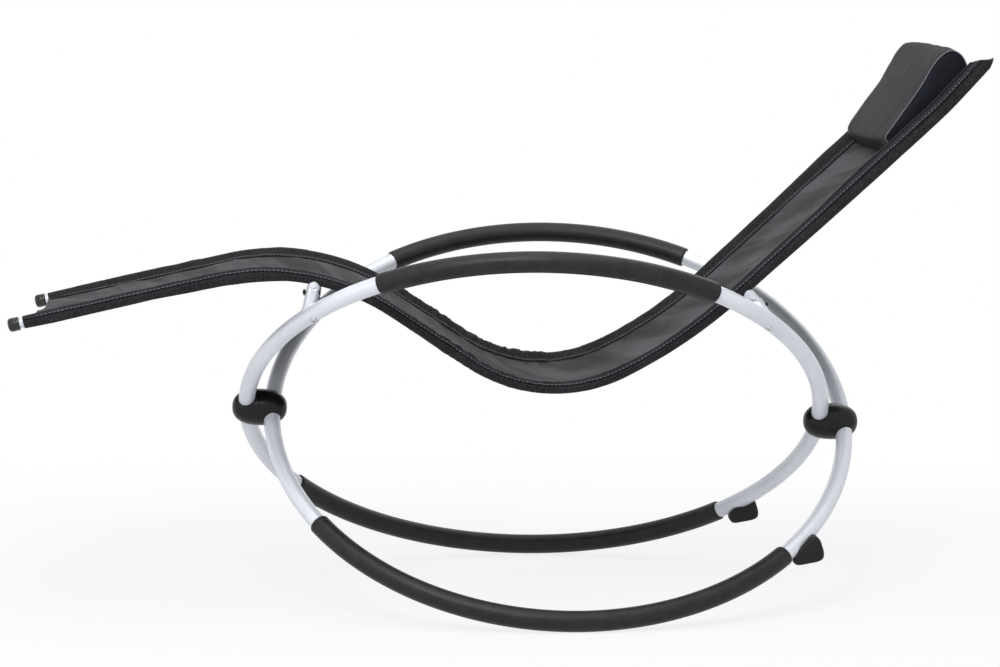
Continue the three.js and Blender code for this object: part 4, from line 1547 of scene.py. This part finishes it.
@dataclass
class Sling:
    """The fabric between the rails: a sagging bed, and a sleeve sewn round each rail."""

    sleeve_radius: float = 0.0102
    sleeve_width: float = 0.095
    lining_radius: float = 0.0086
    hem: float = 0.030
    sag: float = 0.014
    half: float = 0.18046
    from_foot: float = 0.006
    from_head: float = 0.009
    draw_in: float = 0.012
    sleeve_from_foot: dict[Side, float] = field(
        default_factory=lambda: {Side.LEFT: 0.0098, Side.RIGHT: 0.0028})
    past_head: float = 0.0045
    folded: tuple[float, float] = (126.0, 155.0)
    thickness: float = 0.0011
    tip_outward: float = 0.004
    tip_low: float = 0.006
    # Where the sleeve's end draws together, past its last full ring, and the size that is left there
    pinched: tuple[tuple[float, float], ...] = ((0.0022, 0.86), (0.0042, 0.58), (0.0058, 0.28), (0.0068, 0.1))
    # How far past the rail's full length the head end reaches, at heights round the rail
    head_cut: tuple[tuple[float, float], ...] = (
        (-0.0145, -0.0105), (-0.0125, -0.0070), (-0.0085, 0.0), (-0.004, -0.003), (0.0056, -0.0095),
        (0.0101, -0.0175), (0.0145, -0.0225))
    # How far the cloth stands off the sleeve's radius over and under the rail, at lengths along it
    over: tuple[tuple[float, float], ...] = (
        (0.0, -0.0014), (0.05, 0.0), (0.2, -0.0002), (0.3, -0.0012), (0.5, -0.0013), (0.85, -0.0013),
        (0.92, -0.0006), (1.0, -0.0012), (1.12, 0.0), (1.25, 0.001), (1.32, 0.0022), (1.4, 0.0042),
        (1.64, 0.0044))
    under: tuple[tuple[float, float], ...] = (
        (0.0, -0.0013), (0.05, 0.0), (0.2, -0.0012), (0.26, 0.0008), (0.32, 0.0026), (0.37, 0.001),
        (0.4, -0.0008), (0.45, -0.0014), (0.62, -0.0012), (0.66, -0.0004), (0.72, -0.0014), (0.97, -0.0014),
        (1.1, 0.0), (1.2, 0.0012), (1.3, 0.003), (1.42, 0.0038), (1.64, 0.0036))

    def build(self) -> None:
        """Builds the bed, both sleeves and their seams."""
        self.bed()
        for side in Side:
            self.sleeve(side)
            self.seams(side)

    def dip(self, across: Array, lengths: Array | float = 1.0) -> Array:
        """How far the bed hangs below the rails. It is drawn almost flat at the foot's hem."""
        tight = 0.22 + 0.78 * smooth_between(0.0, 0.17, np.asarray(lengths, float))
        return self.sag * tight * (1 - np.clip(np.abs(across) / self.half, 0, 1) ** 2)

    @staticmethod
    def slack(lengths: Array) -> Array:
        """How loose the cloth is along the chair: most at the seat bend, some under the knees.

        Args:
            lengths: Lengths along it.

        Returns:
            The looseness, from 0.14 up.
        """
        seat = np.exp(-((lengths - 0.80) / 0.13) ** 2)
        knee = np.exp(-((lengths - 0.32) / 0.10) ** 2)
        return 0.14 + 0.86 * seat + 0.45 * knee

    def crease(self, lengths: Array, across: Array) -> Array:
        """The height of the bed's creases: soft folds that lie aslant it, and gathers at its sides.

        Args:
            lengths: Lengths along the chair.
            across: Places across it.

        Returns:
            The heights.
        """
        none = np.zeros_like(lengths)
        slant = np.stack([lengths + 0.4 * across, across * 0.16, none], axis=-1)
        calm = 1 - 0.7 * np.exp(-((lengths - 0.8) / 0.2) ** 2)
        crests = np.clip(1 - 2.6 * np.abs(ruffle(slant, 8.5, 3.1)), 0, 1) ** 1.4
        fold, crest, ripple, gather, more, fanned = 0.0042, 0.0042, 0.0009, 0.0006, 0.0026, 0.0022
        folds = (ruffle(slant, 10.5, 5.2) * fold + crests * crest) * calm
        folds = folds + ruffle(slant, 31.0, 8.4) * ripple
        flat = np.stack([lengths, across * 0.3, none], axis=-1)
        side = np.exp(-((self.half - np.abs(across)) / 0.07) ** 2)
        gathers = ruffle(flat, 42.0, 7.7) * (gather + more * side) * self.slack(lengths)
        for way in (-1, 1):
            gap = self.half - way * across
            start = lengths - self.from_foot + 0.004
            fan = np.sin(12 * np.arctan2(start, gap + 1e-6) + way) * np.exp(-np.hypot(start, gap) / 0.06)
            folds = folds + fanned * fan
        return (folds + gathers) * smooth_between(0.012, 0.042, self.half - np.abs(across))

    def bed(self) -> None:
        end = RAIL.length() - self.from_head
        base = np.linspace(self.from_foot, end, 361)
        sides = np.linspace(-self.half, self.half, 61)
        lengths, across = np.meshgrid(base, sides, indexing="ij")
        pull = (1 - np.clip(np.abs(across) / self.half, 0, 1) ** 2) * self.draw_in
        lengths = lengths + 0.35 * pull * (1 - smooth_between(0.0, 0.10, lengths - self.from_foot))
        lengths = lengths - pull * (1 - smooth_between(0.0, 0.10, end - lengths))
        rise = self.crease(lengths, across) - self.dip(across, lengths)
        upper = RAIL.level(lengths, across, rise)
        lower = RAIL.level(lengths, across, rise - self.thickness)
        cut = np.stack([across, lengths], axis=-1)
        rows = np.concatenate([upper, lower[:, ::-1]], axis=1)
        cuts = np.concatenate([cut, cut[:, ::-1], cut[:, :1]], axis=1)
        shape = Shape().grid(rows, closed=True, cut=cuts)
        wide = len(sides)
        for row in (0, len(base) - 1):
            start = row * 2 * wide
            last = start + 2 * wide - 1
            for j in range(wide - 1):
                shape.face((start + j, start + j + 1, last - 1 - j, last - j), [cut[row, j]] * 4)
        thing = Maker.piece("sling_bed", shape, [BED_CLOTH], "left_rail", "bed_fabric", ["sling"], sharp=70)
        rail = LEAN.place(np.array([[0.0, -RAIL.spread / 2, 0.2]]))[0]
        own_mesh(thing)
        RAIL.length()

    def _ring(self) -> Array:
        """The sleeve's plain section: from the hem's edge over its ridges and the rail, and back.

        Returns:
            The points, inward of the rail and above it.
        """
        hem = self.hem
        upper = [(hem, 0.0004), (hem - 0.0006, 0.0016), (hem - 0.0030, 0.0026), (hem - 0.0052, 0.0022),
                 (hem - 0.0070, 0.0008), (hem - 0.0088, 0.0022), (hem - 0.0115, 0.0029), (0.0152, 0.0020),
                 (0.0130, 0.0002), (0.0113, 0.0009), (0.0100, 0.0032)]
        turns = np.concatenate([np.linspace(*arc) for arc in ((38, 110, 9), (113, 170, 20), (180, 318, 15))])
        loop = [((self.sleeve_radius + lap) * math.cos(t), (self.sleeve_radius + lap) * math.sin(t))
                for t, lap in zip(np.radians(turns), self._lap(turns))]
        below = [(0.0105, -0.0050), (0.0140, -0.0036), (0.0200, -0.0026), (0.0260, -0.0022), (hem, -0.0014)]
        return np.array(upper + loop + below)

    def _lap(self, turns: Array) -> Array:
        """How far the folded edge stands off the sleeve.

        Args:
            turns: Angles round the rail in degrees.

        Returns:
            The height at each angle.
        """
        first, last, height, soft = *self.folded, 0.0010, 3
        begun = smooth_between(first - soft, first, turns)
        return height * begun * (1 - smooth_between(last, last + soft, turns))

    def _section(self, side: Side, lengths: Array) -> tuple[Array, Array]:
        """The sleeve's section at lengths along the rail, loose and gathered.

        Args:
            side: Which sleeve.
            lengths: Lengths along the rail.

        Returns:
            For each length and point, how far it is inward of the rail and how high.
        """
        ring = self._ring()
        count = len(ring)
        gathers = self.slack(lengths)[:, None]
        rows = np.broadcast_to(ring, (len(lengths), count, 2)).copy()
        hemward = smooth_between(0.010, 0.021, ring[:, 0])[None, :]
        size = np.linalg.norm(ring, axis=1)
        ways = ring / size[:, None]
        over = np.interp(lengths, *np.array(self.over).T)[:, None] * np.clip(ways[:, 1], 0, 1)[None]
        under = np.interp(lengths, *np.array(self.under).T)[:, None] * np.clip(-ways[:, 1], 0, 1)[None]
        column = np.broadcast_to(lengths[:, None], (len(lengths), count))
        turns = np.broadcast_to(np.linspace(0, 1, count)[None], column.shape)

        def waves(places: Array, wound: Array, scale: float, draw: float) -> Array:
            """Noise at lengths along the sleeve and places wound round it."""
            return ruffle(np.stack([places, wound + side.value * 3.0, 0 * places], axis=-1), scale, draw)

        fine = waves(column, turns * 0.035, 62.0, 1.7)
        sharp = waves(column, turns * 0.05, 88.0, 4.1)
        crumple = np.clip(1 - 2.5 * np.abs(sharp), 0, 1) * np.exp(-((column - 0.72) / 0.16) ** 2)
        broad = waves(column, turns * 0.05, 19.0, 5.3)
        swell = (0.0017 * gathers - 0.0001) * fine + 0.0014 * (0.25 + gathers) * broad
        upper = 1 - 0.75 * np.clip(-ways[:, 1], 0, 1)[None]
        swell = (np.maximum(swell, -0.0010) + 0.0021 * crumple) * upper + over + under
        swell = np.maximum(swell, self.lining_radius + 0.0003 - self.sleeve_radius)
        rows += ways[None] * (swell * (1 - hemward))[..., None]
        wander = waves(lengths, 0 * lengths, 55.0, 2.9)[:, None]
        roam = waves(lengths, 0 * lengths, 21.0, 6.1)[:, None]
        rows[..., 0] += hemward * gathers * (0.0030 * wander + 0.0030 * roam)
        low = self.dip(np.array([RAIL.spread / 2 - self.hem]), lengths)[:, None]
        rows[..., 1] += hemward * (gathers * (0.0014 * wander + 0.0008 * fine) - low)
        return rows[..., 0], rows[..., 1]

    def sleeve(self, side: Side) -> None:
        """Builds one sleeve as a loop of cloth round its rail, sewn into a flat hem, with painted shade lines
        along its creases.

        Args:
            side: Which sleeve.
        """
        start, stop, count = self.sleeve_from_foot[side], RAIL.length() + self.past_head, 760
        past, small = np.array(self.pinched).T
        lengths = np.concatenate([np.linspace(start, stop, count), stop + past])
        inward, rise = self._section(side, np.minimum(lengths, stop))
        pinch = np.concatenate([np.ones(count), small])
        near_foot = 1 - smooth_between(0.0, 0.05, lengths - start)[:, None]
        hemward = smooth_between(0.004, self.hem, inward)
        along = lengths[:, None] + self._cut_back(lengths, rise) + 0.004 * near_foot * hemward
        inward, rise = self._drawn(inward, rise, pinch)
        across = side.value * (RAIL.spread / 2 - inward)
        rows = RAIL.level(along, across, rise)
        shape = Shape().grid(rows, closed=True, cut=self._flat(rows, along))
        ring = self._ring()
        turns = np.degrees(np.arctan2(ring[:, 1], ring[:, 0]))
        first, last = self.folded
        # Painted shade: the faces just beside the raised fold and along the hem's edge take the near-black
        # cloth, as dark lines where the creases would be in shadow
        plain, raised, crease_shade = 0, 1, 2
        kinds = [raised if first < turn < last else
                 crease_shade if last <= turn < last + 8 or first - 30 < turn <= first
                 or abs(x - self.hem) < 0.0015 and y > 0 else plain for turn, (x, y) in zip(turns, ring)]
        shape.finish = [kinds[face % len(ring)] for face in range(len(shape.finish))]
        inner = self._lining(side, lengths, pinch)
        shape.grid(inner, closed=True, flip=True)
        for row, back in ((0, True), (len(lengths) - 1, False)):
            self._close(shape, row, rows.shape, inner.shape, back)
        name, body, cloths = f"{side.word}_sleeve", f"{side.word}_rail", [SLEEVE_CLOTH, HEM_CLOTH, SHADE_CLOTH]
        thing = Maker.piece(f"{name}_cloth", shape, cloths, body, "sleeve_fabric", [name], sharp=75)
        RAIL.length()

    def _drawn(self, inward: Array, rise: Array, pinch: Array) -> tuple[Array, Array]:
        """Draws rings together toward a point outward of the rail and below it.

        Args:
            inward: How far inward of the rail each point is.
            rise: How high it is.
            pinch: The share of its size that each ring keeps.

        Returns:
            The drawn places, inward and up.
        """
        share = pinch[:, None]
        return inward * share + self.tip_outward * (share - 1), rise * share + self.tip_low * (share - 1)

    def _cut_back(self, lengths: Array, rise: Array) -> Array:
        """How the sleeve's head end is drawn back over the rail and runs to a tip under it.

        Args:
            lengths: Lengths along the rail.
            rise: The height of each point round the rail.

        Returns:
            How far each point moves along the rail.
        """
        stop = RAIL.length() + self.past_head
        near = smooth_between(stop - 0.07, stop, lengths)[:, None]
        return near * np.interp(rise, *np.array(self.head_cut).T)

    @staticmethod
    def _flat(rows: Array, along: Array) -> Array:
        """The flat cut of a ringed cloth.

        Args:
            rows: Its rings.
            along: The length along the chair of each point.

        Returns:
            The flat places, with one more column.
        """
        ring = np.concatenate([rows, rows[:, :1]], axis=1)
        widths = np.linalg.norm(np.diff(ring, axis=1), axis=-1)
        across = np.concatenate([[0.0], np.cumsum(widths.mean(axis=0))])[None].repeat(len(rows), 0)
        return np.stack([across, np.concatenate([along, along[:, :1]], axis=1)], axis=-1)

    def _lining(self, side: Side, lengths: Array, pinch: Array) -> Array:
        """The inner face of a sleeve, close round the rail.

        Args:
            side: Which sleeve.
            lengths: Lengths along the rail.
            pinch: The share of its size that each ring has.

        Returns:
            The rings.
        """
        turn = np.radians(np.linspace(0, 360, 24, endpoint=False))
        ring = self.lining_radius * np.stack([np.cos(turn), np.sin(turn)])
        inward, rise = (np.broadcast_to(part, (len(lengths), len(turn))) for part in ring)
        along = lengths[:, None] + self._cut_back(lengths, rise)
        inward, rise = self._drawn(inward, rise, pinch)
        return RAIL.level(along, side.value * (RAIL.spread / 2 - inward), rise)

    @staticmethod
    def _close(shape: Shape, row: int, outer: tuple[int, ...], inner: tuple[int, ...], back: bool) -> None:
        """Joins the outer and inner faces of a sleeve at one end.

        Args:
            shape: The sleeve.
            row: The row at that end.
            outer: The outer rings' size.
            inner: The inner rings' size.
            back: Whether it is the first end.
        """
        wide, few = outer[1], inner[1]
        first = row * wide
        second = outer[0] * wide + row * few
        points = np.concatenate(shape.points)
        outside, inside = points[first:first + wide], points[second:second + few]
        nearest = [int(np.argmin([np.linalg.norm(i - o) for i in inside])) for o in outside]
        for j in range(wide):
            k = (j + 1) % wide
            used, target = nearest[j], nearest[k]
            faces = [[first + j, first + k, second + target]]
            if target != used:
                faces.append([first + j, second + target, second + used])
            for face in faces:
                shape.face(face[::-1] if back else face, [(0.0, 0.0)] * 3)

    def seams(self, side: Side) -> None:
        """Builds the rows of stitches along a sleeve's hem and the folded edge on its outer side.

        Args:
            side: Which sleeve.
        """
        ring = self._ring()
        turns = np.degrees(np.arctan2(ring[:, 1], ring[:, 0]))
        outer = int(np.argmin(np.abs(turns - self.folded[1] + 5)))
        shape = Shape()
        pitch, long, thick, clear = 0.0062, 0.0040, 0.0006, 0.03
        steps = np.array([0.0, 0.12, 0.5, 0.88, 1.0])
        lift = np.array([-0.0008, 0.0002, 0.0006, 0.0002, -0.0008])
        starts = np.arange(clear, RAIL.length() - clear, pitch)
        lengths = (starts[:, None] + steps * long).ravel()
        inward, rise = self._section(side, lengths)
        for row, way in ((2, np.array([0.0, 1.0])), (outer, unit(ring[outer]))):
            off = np.tile(lift, len(starts))
            across = side.value * (RAIL.spread / 2 - inward[:, row] - off * way[0])
            paths = RAIL.level(lengths, across, rise[:, row] + off * way[1])
            for path in paths.reshape(len(starts), len(steps), 3):
                shape.grid(sections(path, ACROSS, thick, 6), closed=True)
        name, body = f"{side.word}_sleeve_stitches", f"{side.word}_rail"
        Maker.piece(name, shape, [SEAM_THREAD], body, "sleeve_fabric", sharp=80)


# Pillow


@dataclass
class Pillow:
    """The wedge-shaped head pillow: a wrapped face, two end panels and piping round them, and a strip of
    painted shadow under its lower edge.
    """

    half_width: float = 0.165
    length: float = 0.178
    from_head: float = 0.0105
    crown: float = 0.004
    rest: float = -0.0017
    piping_radius: float = 0.00085
    edge_tuck: float = 0.0012
    middle: tuple[float, float] = (0.105, 0.024)
    fuller: tuple[tuple[float, float], ...] = (
        (0.0, 0.0), (0.02, 0.0035), (0.06, 0.0038), (0.1, 0.0022), (0.135, 0.0032), (0.162, 0.0085),
        (0.18, 0.0105))

    def outline(self, steps: int = 120) -> Array:
        """The pillow's end outline: places along the back, and heights above the rails.

        Args:
            steps: How many points it has.

        Returns:
            The points, from the lower edge over the face and back below.
        """
        base = self.rest
        corners = [
            (0.012, base + 0.001, 0.004), (0.0045, base + 0.010, 0.004), (0.0060, base + 0.0208, 0.006),
            (0.066, base + 0.0340, 0.03), (0.122, base + 0.0468, 0.03), (0.148, base + 0.0512, 0.02),
            (0.1720, base + 0.0455, 0.012), (0.1755, base + 0.0220, 0.014), (0.160, base + 0.001, 0.012),
        ]
        points = round_loop(corners, 0.48, 7)
        points = np.concatenate([points, points[:1]])
        walked = np.concatenate([[0.0], np.cumsum(np.linalg.norm(np.diff(points, axis=0), axis=1))])
        places = np.linspace(0, walked[-1], steps, endpoint=False)
        return np.stack([np.interp(places, walked, points[:, k]) for k in (0, 1)], axis=-1)

    def _place(self, along: Array, across: Array, rise: Array) -> Array:
        """Places of the pillow in the level chair, along the back from its lower edge."""
        return RAIL.level(RAIL.length() - self.from_head - self.length + along, across, rise)

    def build(self) -> None:
        outline = self.outline()
        cushion = self._cushion(outline)
        # The last piece is a near-black strip that paints the shadow under the pillow's lower edge
        things = [cushion, *(self._piping(outline, side) for side in Side), self._hem_strip()]
        anchor = LEAN.place(np.array([[0.5, -RAIL.spread / 2, 0.4]]))[0]
        for thing in things:
            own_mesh(thing)

    def _outward(self, outline: Array) -> tuple[Array, Array]:
        """For each point of an outline, the way out of the pillow and how far it is on the upper side."""
        ways = unit(outline - np.array([self.middle[0], self.rest + self.middle[1]]))
        return ways, smooth_between(self.rest + 0.003, self.rest + 0.02, outline[:, 1])

    def _fuller(self, ring: Array, column: float, above: Array) -> Array:
        """Stuffs the pillow fuller toward its right end.

        Args:
            ring: A section's points, along the back and off it.
            column: The place across the pillow, from -1 to 1.
            above: How far each point counts as the upper side.

        Returns:
            The moved points.
        """
        share = (column + 1) / 2 * above
        longer = 0.0045 * smooth_between(0.12, 0.17, ring[:, 0])
        higher = np.interp(ring[:, 0], *np.array(self.fuller).T)
        return ring + share[:, None] * np.stack([longer, higher], axis=-1)

    def _cushion(self, outline: Array) -> bpy.types.Object:
        """Builds the stuffed body with its end panels.

        Args:
            outline: The end outline.

        Returns:
            The piece.
        """
        count = len(outline)
        ways, above = self._outward(outline)
        columns = np.concatenate([[-1.0], np.linspace(-0.985, 0.985, 61), [1.0]])
        rows = []
        for column in columns:
            full = 1 - abs(column) ** 2.6
            swell = self.crown * full * above
            edge = self.edge_tuck * (1 - smooth_between(0.0, 0.03, (1 - abs(column)) * self.half_width))
            ring = outline + ways * (swell - edge * above)[:, None]
            ring = self._fuller(ring, column, above)
            across = np.full(count, column * self.half_width)
            spots = self._place(ring[:, 0], across, ring[:, 1])
            folds = ruffle(spots * np.array([1.0, 0.5, 1.0]), 16.0, 2.2) * 0.0016 * full
            folds += ruffle(spots, 45.0, 9.1) * 0.0005
            ring = ring + ways * (folds * above)[:, None]
            rows.append(self._place(ring[:, 0], across, ring[:, 1]))
        rows = np.array(rows)
        walked = np.concatenate([[0.0], np.cumsum(np.linalg.norm(np.diff(outline, axis=0), axis=1))])
        round_cut = np.concatenate([walked, [walked[-1] * count / (count - 1)]])
        cut = np.stack(np.meshgrid(round_cut, columns * self.half_width), axis=-1)
        shape = Shape().grid(rows, closed=True, cut=cut)
        for index, side in ((0, -1), (len(columns) - 1, 1)):
            self._panel(shape, rows[index], outline, side, index == 0)
        return Maker.piece("pillow_cushion", shape, [PILLOW_CLOTH, PANEL_CLOTH], "pillow", "pillow_fabric",
                           ["pillow"], sharp=50)

    def _panel(self, shape: Shape, ring: Array, outline: Array, side: int, flip: bool) -> None:
        """Adds an end panel, puffed a little.

        Args:
            shape: The cushion's shape.
            ring: The ring that it closes.
            outline: The flat outline.
            side: The sign of Y.
            flip: Whether its faces turn over.
        """
        centre = ring.mean(axis=0)
        flat_centre = outline.mean(axis=0)
        loops, cuts = [], []
        for share in (1.0, 0.97, 0.88, 0.75, 0.6, 0.44, 0.28, 0.13, 0.03):
            tuck = 0.0022 * math.exp(-((1 - share) / 0.035) ** 2) * (share < 0.999)
            puff = 0.0042 * (1 - share ** 3) - tuck
            inner = centre + (ring - centre) * share
            inner = inner + np.array([0.0, side * puff, 0.0])
            inner[:, 1] += side * ruffle(inner, 30.0, 4.4 + side) * 0.0011 * (1 - share ** 6)
            loops.append(inner)
            cuts.append(flat_centre + (outline - flat_centre) * share)
        cut = np.array(cuts)
        cut = np.concatenate([cut, cut[:, :1]], axis=1)
        shape.grid(np.array(loops), closed=True, cut=cut, finish=1, flip=flip)
        total = shape.count()
        shape.face(range(total - len(ring), total), cuts[-1], 1)

    def _piping(self, outline: Array, side: Side) -> bpy.types.Object:
        """Builds the thin piping round one end panel.

        Args:
            outline: The end outline.
            side: Which end.

        Returns:
            The piece.
        """
        ways, above = self._outward(outline)
        proud, outside = 0.0003, 0.0004
        ring = self._fuller(outline + ways * (proud - self.edge_tuck * above)[:, None], side.value, above)
        across = np.full(len(ring), side.value * (self.half_width + outside))
        path = self._place(ring[:, 0], across, ring[:, 1])
        closed = np.concatenate([path[-1:], path, path[:2]])
        rows = sections(closed, ACROSS, self.piping_radius, 10)[1:-1]
        shape = Shape().grid(rows, closed=True)
        name = f"pillow_{side.word}_piping"
        return Maker.piece(name, shape, [PALE_PIPING], "pillow", "pillow_fabric", sharp=80)

    def _hem_strip(self) -> bpy.types.Object:
        """Builds a near-black strip tucked under the pillow's lower edge, painted shadow for the dark gap
        there.

        Returns:
            The piece.
        """
        sides = np.linspace(-1, 1, 49) * (self.half_width - 0.004)
        # The strip's profile, recessed under the face's lower edge, where its near-black cloth reads as
        # painted shadow
        profile = np.array([(0.0066, 0.0165), (0.0034, 0.0125), (0.0030, 0.0070), (0.0022, 0.0018),
                            (0.0030, 0.0004), (0.012, 0.001), (0.012, 0.010)])
        profile[:, 1] += self.rest
        rows = []
        for across in sides:
            sag = Sling().dip(np.array([across]))[0]
            wave = ruffle(np.array([[across, 0.0, 0.0]]), 26.0, 6.6)[0]
            low = 1 - smooth_between(0.0, 0.012, profile[:, 1] - self.rest)
            hung = profile[:, 1] - max(sag - 0.002, 0.0) * 0.55 * low
            rows.append(self._place(profile[:, 0] + 0.0014 * wave, np.full(len(profile), across), hung))
        shape = Shape().grid(np.array(rows), closed=True, ends=True)
        return Maker.piece("pillow_hem_strip", shape, [SHADE_CLOTH], "pillow", "pillow_fabric", sharp=60)


# Fasteners that stay as the frame has them


@dataclass
class Fasteners:
    """The bolts, nuts and washers inside the knuckles, which keep the frame's own shapes."""

    finishes: dict[str, Finish] = field(default_factory=lambda: {
        "pivot_bolt": ZINC, "pivot_nut": ZINC, "thrust_washer": NYLON})

    def dress(self, nodes: dict[str, bpy.types.Object]) -> None:
        """Gives every CAD node a finish, the hidden ones too.

        Args:
            nodes: The frame's nodes by name.
        """
        for name, node in nodes.items():
            kind = next((k for k in self.finishes if name.endswith(k)), None)
            finish = self.finishes[kind] if kind else self._covered(name)
            node.data.materials.clear()
            node.data.materials.append(finish.material())
            log.info("%s: kept in %s", name, finish.name)

    @staticmethod
    def _covered(name: str) -> Finish:
        """The finish of a node that a piece stands for.

        Args:
            name: The node's name.

        Returns:
            The finish.
        """
        if name.endswith(("tube", "strut", "seat_rail")):
            return PAINT
        if name.endswith("foam"):
            return FOAM
        if name.endswith("screw"):
            return ZINC
        if name in ("sling", "pillow") or name.endswith("sleeve"):
            return SLEEVE_CLOTH
        return PLASTIC


# Studio


@dataclass
class Studio:
    """The camera at the photograph's place, a pale floor and plain soft light."""

    lens: float = 102.6
    place: tuple[float, float, float] = (-0.2761, -4.3311, 0.5811)
    pitch: float = 0.1054
    yaw: float = 0.04643
    roll: float = 0.03104

    def build(self, floor_height: float) -> None:
        """Builds the whole studio.

        Args:
            floor_height: The height of the floor.
        """
        self.camera()
        self.floor(floor_height)
        self.world()
        self.lamps()

    def camera(self) -> None:
        """Places the camera."""
        cy, cp, cr = (math.cos(angle) for angle in (self.yaw, self.pitch, self.roll))
        sy, sp, sr = (math.sin(angle) for angle in (self.yaw, self.pitch, self.roll))
        forward = np.array([sy * cp, cy * cp, -sp])
        right = np.array([cy, -sy, 0.0])
        up = np.cross(right, forward)
        matrix = np.eye(4)
        matrix[:3, :3] = LEAN.turn(np.array([right * cr + up * sr, -right * sr + up * cr, -forward])).T
        matrix[:3, 3] = LEAN.place(np.array([self.place]))[0]
        data = bpy.data.cameras.new("camera")
        data.lens = self.lens
        data.sensor_width = 36.0
        data.clip_end = 60.0
        thing = in_scene("camera", data)
        thing.matrix_world = Matrix(matrix.tolist())
        bpy.context.scene.camera = thing

    def floor(self, height: float) -> None:
        """Lays a pale floor that melts into the white background away from the chair.

        Args:
            height: Its height.
        """
        mesh = bpy.data.meshes.new("floor")
        half = 14.0
        corners = [(x * half, y * half, height) for x, y in ((-1, -1), (1, -1), (1, 1), (-1, 1))]
        mesh.from_pydata(corners, [], [(0, 1, 2, 3)])
        paint = bpy.data.materials.new("floor")
        paint.use_nodes = True
        graph = Graph(paint.node_tree)
        x, y, _ = graph.parts(graph.places())
        away = ((x * x) * 0.45 + (y * y)) ** 0.5
        plain = graph.node("ShaderNodeBsdfDiffuse", None, {"Color": (0.86, 0.86, 0.865)})
        lit = graph.node("ShaderNodeEmission", None, {"Color": (1.0, 1.0, 1.0), "Strength": 1.0})
        share = graph.seen() * (away.share(0.55, 1.5) * 0.18 + 0.82)
        mixed = graph.node("ShaderNodeMixShader", None, {0: share, 1: plain["BSDF"], 2: lit["Emission"]})
        graph.node("ShaderNodeOutputMaterial", None, {"Surface": mixed["Shader"]})
        mesh.materials.append(paint)
        in_scene("floor", mesh)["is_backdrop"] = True

    def world(self) -> None:
        """Lights the scene evenly, and shows white behind it."""
        world = bpy.data.worlds.new("studio")
        world.use_nodes = True
        bpy.context.scene.world = world
        graph = Graph(world.node_tree)
        soft = graph.node("ShaderNodeBackground", None, {"Color": (0.93, 0.95, 1.0), "Strength": 0.5})
        white = graph.node("ShaderNodeBackground", None, {"Color": (1.0, 1.0, 1.0), "Strength": 1.0})
        both = {0: graph.seen(), 1: soft["Background"], 2: white["Background"]}
        mixed = graph.node("ShaderNodeMixShader", None, both)
        graph.node("ShaderNodeOutputWorld", None, {"Surface": mixed["Shader"]})

    def lamps(self) -> None:
        """Hangs a key lamp in front, a broad one overhead, a fill at the foot and a weak one behind."""
        self._lamp("key", (-0.6, -2.3, 2.5), (0.05, 0.0, 0.35), 1.2, 45.0)
        self._lamp("top", (0.1, -0.5, 3.2), (0.1, 0.0, 0.3), 2.4, 30.0)
        self._lamp("fill", (-3.4, -2.2, 1.5), (0.0, 0.0, 0.4), 1.8, 12.0)
        self._lamp("back", (1.4, 2.6, 2.4), (0.0, 0.0, 0.4), 2.0, 12.0)

    @staticmethod
    def _lamp(name: str, place: Sequence[float], target: Sequence[float], size: float, power: float) -> None:
        """Hangs one square lamp.

        Args:
            name: Its name.
            place: Where it hangs.
            target: What it faces.
            size: Its width.
            power: Its power in watts.
        """
        data = bpy.data.lights.new(name, "AREA")
        data.shape = "SQUARE"
        data.size = size
        data.energy = power
        thing = in_scene(name, data)
        thing.location = place
        thing.rotation_euler = (Vector(target) - Vector(place)).to_track_quat("-Z", "Y").to_euler()


def main() -> None:
    """Builds the sub-assemblies in order, then the studio on a floor just under them."""
    logging.basicConfig(level=logging.INFO, format="%(name)s: %(message)s")
    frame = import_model()
    Fasteners().dress(frame["nodes"])
    for side in Side:
        Hoop(side).build()
        SeatRail(side).build()
    Sling().build()
    Pillow().build()
    clear = 0.0002
    Studio().build(min(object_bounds()[0].z, 0.0) - clear)
    bpy.context.scene.view_settings.view_transform = "Standard"


if __name__ == "__main__":
    main()
